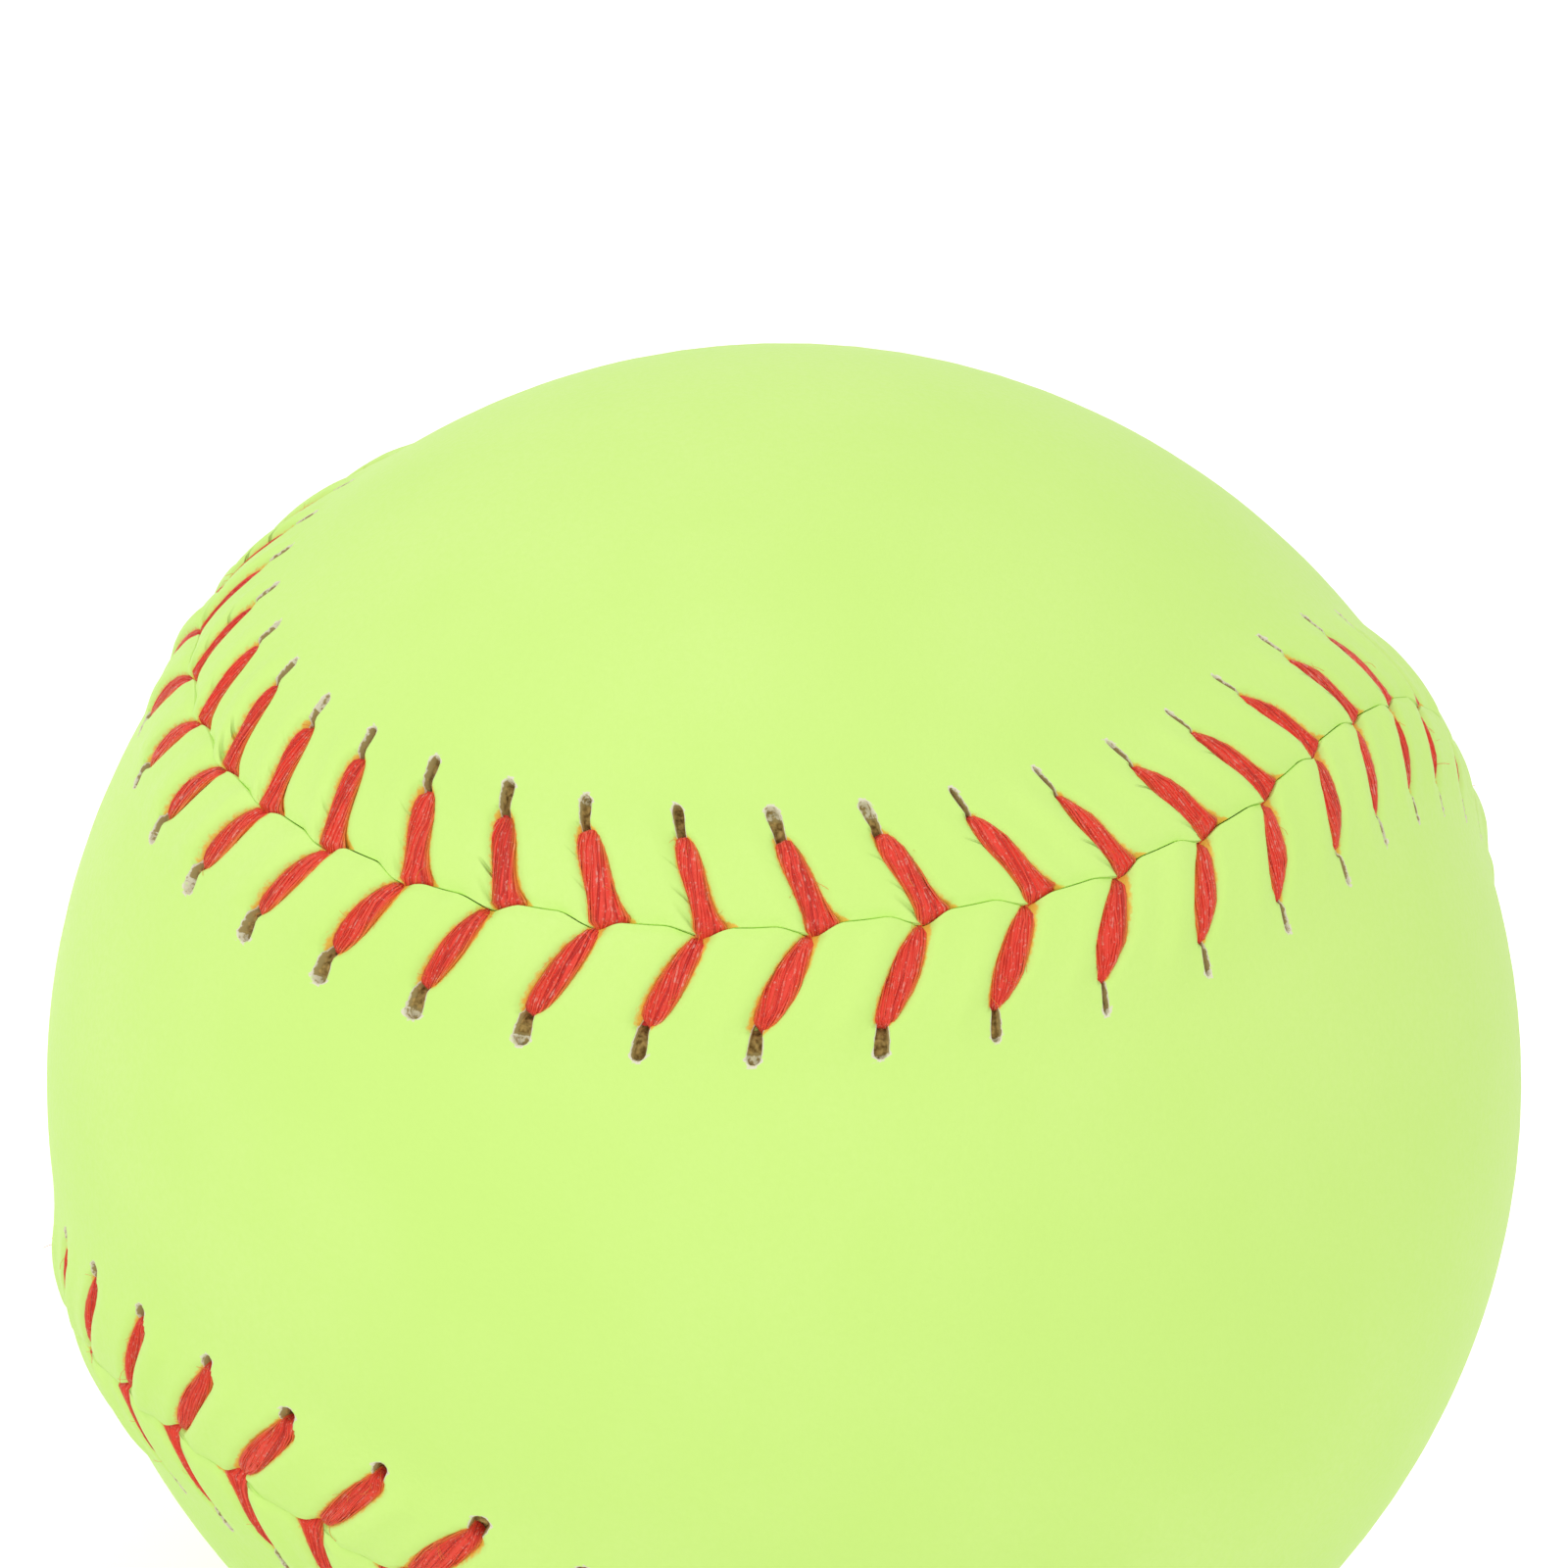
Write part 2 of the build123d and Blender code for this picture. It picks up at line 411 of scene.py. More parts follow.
    def usual_reach(self, panel: Panel, stitch: np.ndarray, reach: np.ndarray) -> np.ndarray:
        """Reach on a leg of the usual length that answers to a reach on a stitch's own leg.

        Args:
            panel: The panel.
            stitch: The stitch of each point.
            reach: Distance of each point from the seam.

        Returns:
            The distances on the usual leg.
        """
        extra = self.extra_reach[panel][stitch]
        start, end = self.long_span
        return reach - extra * ease(start, end + extra, reach)

    def leg_edge(self, panel: Panel, stitch: np.ndarray, aside: np.ndarray, reach: np.ndarray) -> np.ndarray:
        """Distance of points from the edge of the nearest leg.

        Args:
            panel: The panel.
            stitch: The nearest stitch of each point.
            aside: Distance of each point from the line of that stitch's leg, along the seam.
            reach: Distance of each point from the seam.

        Returns:
            The distances, negative under the leg.
        """
        usual = self.usual_reach(panel, stitch, reach)
        past = np.maximum(usual - LEGS[panel].leg_end, 0.0)
        return np.abs(aside) - self.half_width(panel, stitch, usual) + past

    def stain_edge(
        self, panel: Panel, stitch: np.ndarray, aside: np.ndarray, reach: np.ndarray
    ) -> np.ndarray:
        """Distance of points from where the thread's dye stains the leather most.

        Args:
            panel: The panel.
            stitch: The nearest stitch of each point.
            aside: Distance of each point from the line of that stitch's leg, along the seam.
            reach: Distance of each point from the seam.

        Returns:
            The distances from the leg, or on the rear panel from the stain at the right of its base.
        """
        edge = self.leg_edge(panel, stitch, aside, reach) - self.stain_shift * np.sign(aside)
        if panel is Panel.FRONT:
            return edge
        base = (1.0 - ease(0.0, self.tail_reach, reach)) * (aside > 0.0)
        return edge - self.tail_length * self.pillow_share[panel][stitch] * base

    def height(self, panel: Panel, stitch: np.ndarray, aside: np.ndarray, reach: np.ndarray) -> np.ndarray:
        """Height of the leather over the plain ball.

        Args:
            panel: The panel.
            stitch: The nearest stitch of each point.
            aside: Distance of each point from the line of that stitch's leg, along the seam.
            reach: Distance of each point from the seam.

        Returns:
            The heights.
        """
        turn = TURN * aside / self.seam.pitch
        swell = 0.5 - 0.5 * np.cos(turn - self.pillow_skew * (1.0 - np.cos(turn)))
        puff = self.pillow * self.pillow_share[panel][stitch] * swell * (1.0 - ease(*self.pillow_span, reach))
        edge = self.leg_edge(panel, stitch, aside, reach)
        trench = 1.0 - np.where(aside < 0.0, ease(*self.press_left, edge), ease(*self.press_right, edge))
        past = self.usual_reach(panel, stitch, reach) - LEGS[panel].leg_end
        return self.ridge(reach) + puff - self.press * trench * (1.0 - ease(*self.press_past, past))


class TreeMaker:
    """Adds nodes to a node tree and joins them up."""

    def __init__(self, tree: bpy.types.NodeTree) -> None:
        """Keep the tree."""
        self.tree = tree

    def sockets(self, kinds: dict[str, tuple[SocketKind, Any]], output: tuple[str, SocketKind]) -> Any:
        """Args:
            kinds: Kind and first value of each input, by name.
            output: Name and kind of the output.

        Returns:
            What is put in, by name.
        """
        for name, (kind, default) in kinds.items():
            socket = self.tree.interface.new_socket(name=name, in_out="INPUT", socket_type=kind.value)
            if default is not None:
                socket.default_value = default
        self.tree.interface.new_socket(name=output[0], in_out="OUTPUT", socket_type=output[1].value)
        return self.add("NodeGroupInput").outputs

    def add(self, kind: str, inputs: dict[Any, Any] | None = None, **settings: Any) -> bpy.types.Node:
        """Add a node.

        Args:
            kind: Blender's name of the node type.
            inputs: Values or output sockets, by the name or number of the input.
            settings: Properties of the node, which are set first.

        Returns:
            The node.
        """
        node = self.tree.nodes.new(kind)
        for name, value in settings.items():
            setattr(node, name, value)
        for name, value in (inputs or {}).items():
            if isinstance(value, Socket):
                self.tree.links.new(value, node.inputs[name])
            else:
                node.inputs[name].default_value = value
        return node

    def math(self, operation: str, first: Any, second: Any = 0.0, clamp: bool = False) -> Socket:
        """Output of a Math node with two inputs."""
        node = self.add("ShaderNodeMath", {0: first, 1: second}, operation=operation, use_clamp=clamp)
        return node.outputs[0]

    def plus(self, first: Any, second: Any, clamp: bool = False) -> Socket:
        """Sum of two numbers."""
        return self.math("ADD", first, second, clamp)

    def minus(self, first: Any, second: Any) -> Socket:
        """Difference of two numbers."""
        return self.math("SUBTRACT", first, second)

    def times(self, first: Any, second: Any) -> Socket:
        """Product of two numbers."""
        return self.math("MULTIPLY", first, second)

    def vector(self, operation: str, first: Any, second: Any) -> Socket:
        """Output of a Vector Math node with two vectors."""
        return self.add("ShaderNodeVectorMath", {0: first, 1: second}, operation=operation).outputs[0]

    def measure(self, operation: str, first: Any, second: Any = (0.0, 0.0, 0.0)) -> Socket:
        """Number from a Vector Math node, such as a length or a dot product."""
        return self.add("ShaderNodeVectorMath", {0: first, 1: second}, operation=operation).outputs["Value"]

    def scaled(self, vector: Any, factor: Any) -> Socket:
        """A vector times a number."""
        return self.add("ShaderNodeVectorMath", {0: vector, "Scale": factor}, operation="SCALE").outputs[0]

    def flat(self, first: Any, second: Any) -> Socket:
        """A vector of two numbers and zero."""
        return self.add("ShaderNodeCombineXYZ", {0: first, 1: second}).outputs[0]

    def split(self, vector: Any) -> tuple[Socket, ...]:
        """The three numbers of a vector."""
        return tuple(self.add("ShaderNodeSeparateXYZ", {0: vector}).outputs)

    def mix(self, share: Any, first: Any, second: Any) -> Socket:
        """Output of a Mix node between two colours."""
        return self.add("ShaderNodeMix", {0: share, 6: first, 7: second}, data_type="RGBA").outputs[2]

    def step(self, value: Any, span: Span) -> Socket:
        """Smooth step of a value from 0 at the start of a span to 1 at its end."""
        inputs = {"Value": value, "From Min": span[0], "From Max": span[1]}
        return self.add("ShaderNodeMapRange", inputs, interpolation_type="SMOOTHSTEP").outputs[0]

    def attribute(self, name: str, output: str = "Fac") -> Socket:
        """A number or a vector from a named attribute, inside a material."""
        return self.add("ShaderNodeAttribute", attribute_name=name).outputs[output]

    def named(self, name: str, kind: str = "FLOAT") -> Socket:
        """A named attribute, inside a Geometry Nodes tree."""
        return self.add("GeometryNodeInputNamedAttribute", {"Name": name}, data_type=kind).outputs[0]

    def keep(
        self, geometry: Socket, name: str, value: Any, kind: str = "FLOAT", domain: str = "POINT"
    ) -> Socket:
        """Geometry with a number or a vector stored on it under a name."""
        inputs = {"Geometry": geometry, "Name": name, "Value": value}
        return self.add("GeometryNodeStoreNamedAttribute", inputs, data_type=kind, domain=domain).outputs[0]

    def random(self, identity: Socket, seed: Socket, span: Span) -> Socket:
        """A random number in a span for each identity."""
        inputs = {2: span[0], 3: span[1], "ID": identity, "Seed": seed}
        return self.add("FunctionNodeRandomValue", inputs, data_type="FLOAT").outputs[1]

    def tubes(self, curve: Socket, sides: int, radius: Any, caps: bool = True) -> Socket:
        """Round tubes along curves.

        Args:
            curve: The curves.
            sides: How many sides a tube has.
            radius: Radius of the tubes.
            caps: True to close their ends.

        Returns:
            The mesh.
        """
        ring = self.add("GeometryNodeCurvePrimitiveCircle", {"Resolution": sides, "Radius": radius})
        inputs = {"Curve": curve, "Profile Curve": ring.outputs[0], "Fill Caps": caps}
        return self.add("GeometryNodeCurveToMesh", inputs).outputs[0]

    def close(self, parts: tuple[Socket, ...], material: Socket) -> None:
        """End a Geometry Nodes tree: its parts become one smooth mesh with one material.

        Args:
            parts: The geometry to join.
            material: The material.
        """
        joined = self.add("GeometryNodeJoinGeometry")
        for part in parts:
            self.tree.links.new(part, joined.inputs[0])
        smooth = self.add("GeometryNodeSetShadeSmooth", {"Geometry": joined.outputs[0]}).outputs[0]
        real = self.add("GeometryNodeRealizeInstances", {"Geometry": smooth}).outputs[0]
        dressed = self.add("GeometryNodeSetMaterial", {"Geometry": real, "Material": material}).outputs[0]
        self.add("NodeGroupOutput", {0: dressed})


class ShaderEffects:
    """Shader node groups that the finishes place with their own values."""

    mottle_spread: Span = (0.25, 0.75)
    least_speck: float = 0.3

    def __init__(self) -> None:
        """Build each group once."""
        self.mottle = self._mottle()
        self.specks = self._specks()
        self.crease = self._crease()

    def _mottle(self) -> bpy.types.NodeTree:
        """Soft cloudy variation.

        Returns:
            The group, which puts out values from 0 to 1.
        """
        maker = TreeMaker(bpy.data.node_groups.new("mottle", "ShaderNodeTree"))
        kinds = {
            "Vector": (SocketKind.VECTOR, None),
            "Scale": (SocketKind.NUMBER, 100.0),
            "Detail": (SocketKind.NUMBER, 3.0),
        }
        given = maker.sockets(kinds, ("Value", SocketKind.NUMBER))
        noise = maker.add("ShaderNodeTexNoise", {name: given[name] for name in kinds}).outputs[0]
        maker.add("NodeGroupOutput", {"Value": maker.step(noise, self.mottle_spread)})
        return maker.tree

    def _specks(self) -> bpy.types.NodeTree:
        """Small scattered dots.

        Returns:
            The group, which puts out 1 inside a dot.
        """
        maker = TreeMaker(bpy.data.node_groups.new("specks", "ShaderNodeTree"))
        kinds = {
            "Vector": (SocketKind.VECTOR, None),
            "Scale": (SocketKind.NUMBER, 200.0),
            "Size": (SocketKind.NUMBER, 0.05),
            "Share": (SocketKind.NUMBER, 0.1),
        }
        given = maker.sockets(kinds, ("Mask", SocketKind.NUMBER))
        cells = maker.add("ShaderNodeTexVoronoi", {"Vector": given["Vector"], "Scale": given["Scale"]})
        pick = maker.add("ShaderNodeSeparateColor", {0: cells.outputs["Color"]})
        chosen = maker.math("LESS_THAN", pick.outputs[0], given["Share"])
        size = maker.times(given["Size"], maker.plus(pick.outputs[1], self.least_speck))
        inside = maker.math("LESS_THAN", cells.outputs["Distance"], size)
        maker.add("NodeGroupOutput", {"Mask": maker.times(chosen, inside)})
        return maker.tree

    def _crease(self) -> bpy.types.NodeTree:
        """A short line that fades out along its run.

        Returns:
            The group, which puts out 1 at the line's start.
        """
        maker = TreeMaker(bpy.data.node_groups.new("crease", "ShaderNodeTree"))
        kinds = {
            "Place": (SocketKind.VECTOR, None),
            "Start": (SocketKind.VECTOR, None),
            "Run": (SocketKind.VECTOR, None),
            "Width": (SocketKind.NUMBER, 0.1),
        }
        given = maker.sockets(kinds, ("Mask", SocketKind.NUMBER))
        away = maker.vector("SUBTRACT", given["Place"], given["Start"])
        size = maker.measure("DOT_PRODUCT", given["Run"], given["Run"])
        share = maker.math("DIVIDE", maker.measure("DOT_PRODUCT", away, given["Run"]), size, clamp=True)
        rest = maker.vector("SUBTRACT", away, maker.scaled(given["Run"], share))
        beside = maker.math("DIVIDE", maker.measure("LENGTH", rest), given["Width"])
        line = maker.minus(1.0, maker.step(beside, (0.0, 1.0)))
        maker.add("NodeGroupOutput", {"Mask": maker.times(line, maker.minus(1.0, share))})
        return maker.tree


@dataclass(frozen=True)
class Mottle:
    """How fine and how detailed a cloudy variation is."""

    scale: float
    detail: float


@dataclass(frozen=True)
class Specks:
    """How close, how large and how many scattered dots are."""

    scale: float
    size: float
    share: float


@dataclass(frozen=True)
class CreaseLine:
    """A crease beside a stitch. Its start and run are measured aside from the leg and away from the seam."""

    start: tuple[float, float]
    run: tuple[float, float]
    width: float


@dataclass(frozen=True)
class Finish:
    """A procedural finish on the Principled shader."""

    effects: ShaderEffects
    name: str = "finish"
    specular: float = 0.4
    sheen: float = 0.0
    sheen_tint: Colour = WHITE
    rough: float = 0.5
    rough_range: float = 0.1
    bump_depth: float = 0.1
    bump_share: float = 0.5

    def start(self) -> tuple[bpy.types.Material, TreeMaker, bpy.types.Node, Socket]:
        """Make the material with its plain values.

        Returns:
            The material, its tree maker, the Principled node and the Object coordinates.
        """
        material = bpy.data.materials.new(self.name)
        material.use_nodes = True
        maker = TreeMaker(material.node_tree)
        shader = material.node_tree.nodes["Principled BSDF"]
        shader.inputs["Specular IOR Level"].default_value = self.specular
        shader.inputs["Sheen Weight"].default_value = self.sheen
        shader.inputs["Sheen Tint"].default_value = self.sheen_tint
        place = maker.add("ShaderNodeTexCoord").outputs["Object"]
        return material, maker, shader, place

    def effect(self, maker: TreeMaker, group: bpy.types.NodeTree, inputs: dict[str, Any]) -> Socket:
        """Output of one of the shared groups, placed with its own values."""
        return maker.add("ShaderNodeGroup", inputs, node_tree=group).outputs[0]

    def mottled(self, maker: TreeMaker, place: Any, mottle: Mottle) -> Socket:
        """Cloudy variation over the surface."""
        inputs = {"Vector": place, "Scale": mottle.scale, "Detail": mottle.detail}
        return self.effect(maker, self.effects.mottle, inputs)

    def speckled(self, maker: TreeMaker, place: Any, specks: Specks) -> Socket:
        """Scattered dots over the surface."""
        inputs = {"Vector": place, "Scale": specks.scale, "Size": specks.size, "Share": specks.share}
        return self.effect(maker, self.effects.specks, inputs)

    def roughness(self, maker: TreeMaker, variation: Socket) -> Socket:
        """Roughness that grows with a variation."""
        return maker.plus(self.rough, maker.times(variation, self.rough_range))

    def dress(
        self,
        maker: TreeMaker,
        shader: bpy.types.Node,
        colour: Socket,
        roughness: Socket,
        height: Socket,
        under: Socket | None = None,
    ) -> None:
        """Join colour, roughness and relief to the shader.

        Args:
            maker: The material's tree maker.
            shader: The Principled node.
            colour: The colour over the surface.
            roughness: The roughness over the surface.
            height: Relief from 0 to 1.
            under: Normal of a coarser relief that this one lies on.
        """
        inputs = {"Strength": self.bump_share, "Distance": self.bump_depth * MM, "Height": height}
        bump = maker.add("ShaderNodeBump", inputs)
        if under is not None:
            maker.tree.links.new(under, bump.inputs["Normal"])
        maker.tree.links.new(colour, shader.inputs["Base Color"])
        maker.tree.links.new(roughness, shader.inputs["Roughness"])
        maker.tree.links.new(bump.outputs[0], shader.inputs["Normal"])


@dataclass(frozen=True)
class LeatherFinish(Finish):
    """Dyed leather with a fine grain and short creases with painted shade, its pale cut edge, and the yarn
    under the slots.
    """

    name: str = "optic_leather"
    specular: float = 0.3
    rough: float = 0.47
    rough_range: float = 0.12
    bump_depth: float = 0.05
    bump_share: float = 0.25
    stitch_pitch: float = 6.0
    light: Colour = (0.695, 0.965, 0.266, 1.0)
    deep: Colour = (0.660, 0.950, 0.232, 1.0)
    # Painted shade: the darker green that the creases are coloured with.
    crease_shade: Colour = (0.36, 0.60, 0.07, 1.0)
    stain: Colour = (0.95, 0.44, 0.03, 1.0)
    speck: Colour = (0.20, 0.32, 0.06, 1.0)
    raw_edge: Colour = (0.84, 0.80, 0.62, 1.0)
    cut_wall: Colour = (0.42, 0.32, 0.13, 1.0)
    yarn: Colour = (0.64, 0.45, 0.16, 1.0)
    yarn_dark: Colour = (0.15, 0.085, 0.018, 1.0)
    clouds: Mottle = Mottle(60.0, 2.0)
    grain: Mottle = Mottle(2600.0, 3.0)
    fray: Mottle = Mottle(3200.0, 4.0)
    specks: Specks = Specks(160.0, 0.022, 0.05)
    grain_share: float = 0.35
    speck_share: float = 0.75
    stain_ragged: float = 0.16
    stain_span: Span = (0.02, 0.25)
    stain_share: float = 0.8
    pocket_ragged: float = 0.22
    pocket_span: Span = (0.14, 0.26)
    wall_span: Span = (0.30, 0.42)
    yarn_span: Span = (0.60, 0.85)
    cut_span: Span = (0.1, 0.3)
    cut_rough: float = 0.35
    crease_depth: float = 0.25
    crease_lines: tuple[CreaseLine, ...] = (
        CreaseLine(start=(-0.75, 0.35), run=(-0.95, 1.05), width=0.32),
        CreaseLine(start=(-0.66, 3.45), run=(-1.05, 0.80), width=0.13),
        CreaseLine(start=(-0.70, 1.70), run=(-0.85, 0.70), width=0.18),
    )

    def creases(self, maker: TreeMaker) -> Socket:
        """Short creases beside the stitches.

        Args:
            maker: The material's tree maker.

        Returns:
            A mask from 0 to 1, which dents the leather and marks where shade is painted into the creases.
        """
        turn_x, turn_y, reach = maker.split(maker.attribute("sewn", "Vector"))
        aside = maker.times(maker.math("ARCTAN2", turn_y, turn_x), self.stitch_pitch / TURN)
        place = maker.flat(aside, reach)
        total: Any = 0.0
        shares = maker.split(maker.attribute("crease", "Vector"))
        for line, share in zip(self.crease_lines, shares):
            ends = {"Start": (*line.start, 0.0), "Run": (*line.run, 0.0)}
            mask = self.effect(maker, self.effects.crease, {"Place": place, **ends, "Width": line.width})
            total = maker.plus(total, maker.times(mask, share), clamp=True)
        return total

    def material(self) -> bpy.types.Material:
        """Build the material.

        Returns:
            The leather.
        """
        material, maker, shader, place = self.start()
        grain = self.mottled(maker, place, self.grain)
        fray = self.mottled(maker, place, self.fray)
        ragged = maker.minus(fray, 0.5)
        creases = self.creases(maker)

        colour = maker.mix(self.mottled(maker, place, self.clouds), self.light, self.deep)
        colour = maker.mix(maker.times(grain, self.grain_share), colour, self.deep)
        dots = self.speckled(maker, place, self.specks)
        colour = maker.mix(maker.times(dots, self.speck_share), colour, self.speck)
        # Painted shade: the creases are darkened in colour, on top of their bump.
        colour = maker.mix(creases, colour, self.crease_shade)
        edge = maker.plus(maker.attribute("leg_edge"), maker.times(ragged, self.stain_ragged))
        stained = maker.minus(1.0, maker.step(edge, self.stain_span))
        colour = maker.mix(maker.times(stained, self.stain_share), colour, self.stain)

        level = maker.plus(maker.attribute("pocket"), maker.times(ragged, self.pocket_ragged))
        fibres = maker.mix(fray, self.yarn_dark, self.yarn)
        inside = maker.mix(maker.step(level, self.wall_span), self.raw_edge, self.cut_wall)
        inside = maker.mix(maker.step(level, self.yarn_span), inside, fibres)
        colour = maker.mix(maker.step(level, self.pocket_span), colour, inside)
        cut = maker.times(maker.step(level, self.cut_span), self.cut_rough)
        rough = maker.plus(self.roughness(maker, grain), cut, clamp=True)

        dented = {"Distance": self.crease_depth * MM, "Height": creases}
        folds = maker.add("ShaderNodeBump", dented, invert=True).outputs[0]
        self.dress(maker, shader, colour, rough, grain, folds)
        return material


@dataclass(frozen=True)
class ThreadFinish(Finish):
    """Red waxed thread: strands of different tones, pale pink dashes and flecks of painted highlight and
    wear, dark dashes of painted shade, side edges painted orange as bounce light from the leather, and orange
    loose fibres.
    """

    name: str = "waxed_red_thread"
    specular: float = 0.35
    sheen: float = 0.3
    sheen_tint: Colour = (1.0, 0.42, 0.20, 1.0)
    rough: float = 0.42
    rough_range: float = 0.2
    bump_depth: float = 0.04
    bump_share: float = 0.5
    red: Colour = (0.96, 0.070, 0.042, 1.0)
    dark: Colour = (0.60, 0.018, 0.016, 1.0)
    # Painted highlight and wear: the pale pink of the dashes and flecks.
    wear_and_highlight: Colour = (0.95, 0.45, 0.38, 1.0)
    # Painted bounce light: the orange that the strands' side edges take from the yellow leather. The loose
    # fibres have this orange too.
    fray_and_bounce: Colour = (0.95, 0.33, 0.05, 1.0)
    fibre: Mottle = Mottle(3800.0, 4.0)
    dashes: Mottle = Mottle(1.0, 2.0)
    flecks: Mottle = Mottle(5200.0, 3.0)
    tone_span: Span = (-0.1, 0.55)
    # Pale pink dashes: painted highlights and wear.
    wear_and_highlight_span: Span = (0.62, 1.0)
    wear_and_highlight_fibre: Span = (0.2, 0.8)
    wear_and_highlight_share: float = 0.6
    # Painted shade: dark dashes where the strands sink.
    sunk_shade_span: Span = (0.0, 0.4)
    sunk_shade_share: float = 0.5
    fleck_span: Span = (0.80, 1.0)
    fleck_share: float = 0.55

    def material(self) -> bpy.types.Material:
        """Build the material.

        Returns:
            The thread.
        """
        material, maker, shader, place = self.start()
        fibre = self.mottled(maker, place, self.fibre)
        dashes = self.mottled(maker, maker.attribute("lay", "Vector"), self.dashes)
        # Flecks: small painted highlights.
        flecks = self.mottled(maker, place, self.flecks)
        colour = maker.mix(maker.step(maker.attribute("tone"), self.tone_span), self.dark, self.red)
        # Painted highlight and wear: pale pink dashes along the strands.
        wear_and_highlight = maker.times(maker.step(dashes, self.wear_and_highlight_span), maker.step(fibre, self.wear_and_highlight_fibre))
        colour = maker.mix(maker.times(wear_and_highlight, self.wear_and_highlight_share), colour, self.wear_and_highlight)
        # Painted shade: dark dashes along the strands, where they sink between the others.
        sunk_shade = maker.minus(1.0, maker.step(dashes, self.sunk_shade_span))
        colour = maker.mix(maker.times(sunk_shade, self.sunk_shade_share), colour, self.dark)
        # Painted highlight: small pale flecks.
        flecked = maker.times(maker.step(flecks, self.fleck_span), self.fleck_share)
        colour = maker.mix(flecked, colour, self.wear_and_highlight)
        # Painted bounce light: the strands' side edges turn orange as if lit by the yellow leather. The loose
        # fibres keep their own orange.
        colour = maker.mix(maker.attribute("fray"), colour, self.fray_and_bounce)
        self.dress(maker, shader, colour, self.roughness(maker, fibre), fibre)
        return material


@dataclass(frozen=True)
class YarnFinish(Finish):
    """Wound wool and cotton yarn, undyed and a little dusty."""

    name: str = "wound_yarn"
    specular: float = 0.2
    sheen: float = 0.3
    rough: float = 0.75
    rough_range: float = 0.15
    bump_depth: float = 0.15
    bump_share: float = 0.7
    light: Colour = (0.52, 0.40, 0.22, 1.0)
    dark: Colour = (0.24, 0.16, 0.07, 1.0)
    fibre: Mottle = Mottle(1800.0, 4.0)
    fibre_share: float = 0.5

    def material(self) -> bpy.types.Material:
        """Build the material.

        Returns:
            The yarn.
        """
        material, maker, shader, place = self.start()
        fibre = self.mottled(maker, place, self.fibre)
        colour = maker.mix(maker.attribute("tone"), self.dark, self.light)
        colour = maker.mix(maker.times(fibre, self.fibre_share), colour, self.dark)
        self.dress(maker, shader, colour, self.roughness(maker, fibre), fibre)
        return material


@dataclass(frozen=True)
class CorkFinish(Finish):
    """Moulded cork and rubber: warm brown with dark crumbs."""

    name: str = "cork_and_rubber"
    specular: float = 0.25
    rough: float = 0.7
    rough_range: float = 0.2
    bump_depth: float = 0.3
    bump_share: float = 0.6
    base: Colour = (0.33, 0.20, 0.11, 1.0)
    deep: Colour = (0.22, 0.12, 0.06, 1.0)
    crumb: Colour = (0.06, 0.035, 0.02, 1.0)
    clouds: Mottle = Mottle(350.0, 4.0)
    crumbs: Specks = Specks(500.0, 0.30, 0.5)
    crumb_share: float = 0.8
    crumb_drop: float = 0.5

    def material(self) -> bpy.types.Material:
        """Build the material.

        Returns:
            The cork and rubber.
        """
        material, maker, shader, place = self.start()
        clouds = self.mottled(maker, place, self.clouds)
        crumbs = self.speckled(maker, place, self.crumbs)
        colour = maker.mix(clouds, self.base, self.deep)
        colour = maker.mix(maker.times(crumbs, self.crumb_share), colour, self.crumb)
        height = maker.minus(clouds, maker.times(crumbs, self.crumb_drop))
        self.dress(maker, shader, colour, self.roughness(maker, clouds), height)
        return material


def link(name: str, mesh: bpy.types.Mesh) -> bpy.types.Object:
    """Put a mesh into the scene as an object at the origin.

    Args:
        name: Name of the object.
        mesh: The mesh.

    Returns:
        The object.
    """
    piece = bpy.data.objects.new(name, mesh)
    bpy.context.scene.collection.objects.link(piece)
    return piece


def store(mesh: bpy.types.Mesh, name: str, values: np.ndarray) -> None:
    """Keep numbers or vectors on the points of a mesh.

    Args:
        mesh: The mesh.
        name: Name of the attribute.
        values: One number or one vector for each point.
    """
    vector = values.ndim == 2
    layer = mesh.attributes.new(name, "FLOAT_VECTOR" if vector else "FLOAT", "POINT")
    layer.data.foreach_set("vector" if vector else "value", values.astype(np.float32).ravel())


def declare(piece: bpy.types.Object, node: str) -> None:
    """Let a finished piece ride on the ball and stand for its solid.

    Args:
        piece: The finished piece.
        node: The solid's node.
    """
    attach(piece, "root")
    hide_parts(node)
    triangles = sum(len(face.vertices) - 2 for face in piece.data.polygons)
    LOG.info("%s: %d triangles", piece.name, triangles)


@dataclass
class GridRow:
    """One closed row of a panel's grid, with what the leather's finish reads on its points."""

    points: np.ndarray
    pocket: np.ndarray
    leg_edge: np.ndarray
    sewn: np.ndarray
    crease: np.ndarray

    @classmethod
    def plain(cls, points: np.ndarray) -> "GridRow":
        """A row that lies away from the stitches.

        Args:
            points: The row's points.

        Returns:
            The row.
        """
        count, far = len(points), 20.0
        return cls(
            points=points,
            pocket=np.full(count, Pocket.SURFACE.value),
            leg_edge=np.full(count, far),
            sewn=np.tile(np.array([1.0, 0.0, far]), (count, 1)),
            crease=np.zeros_like(points),
        )


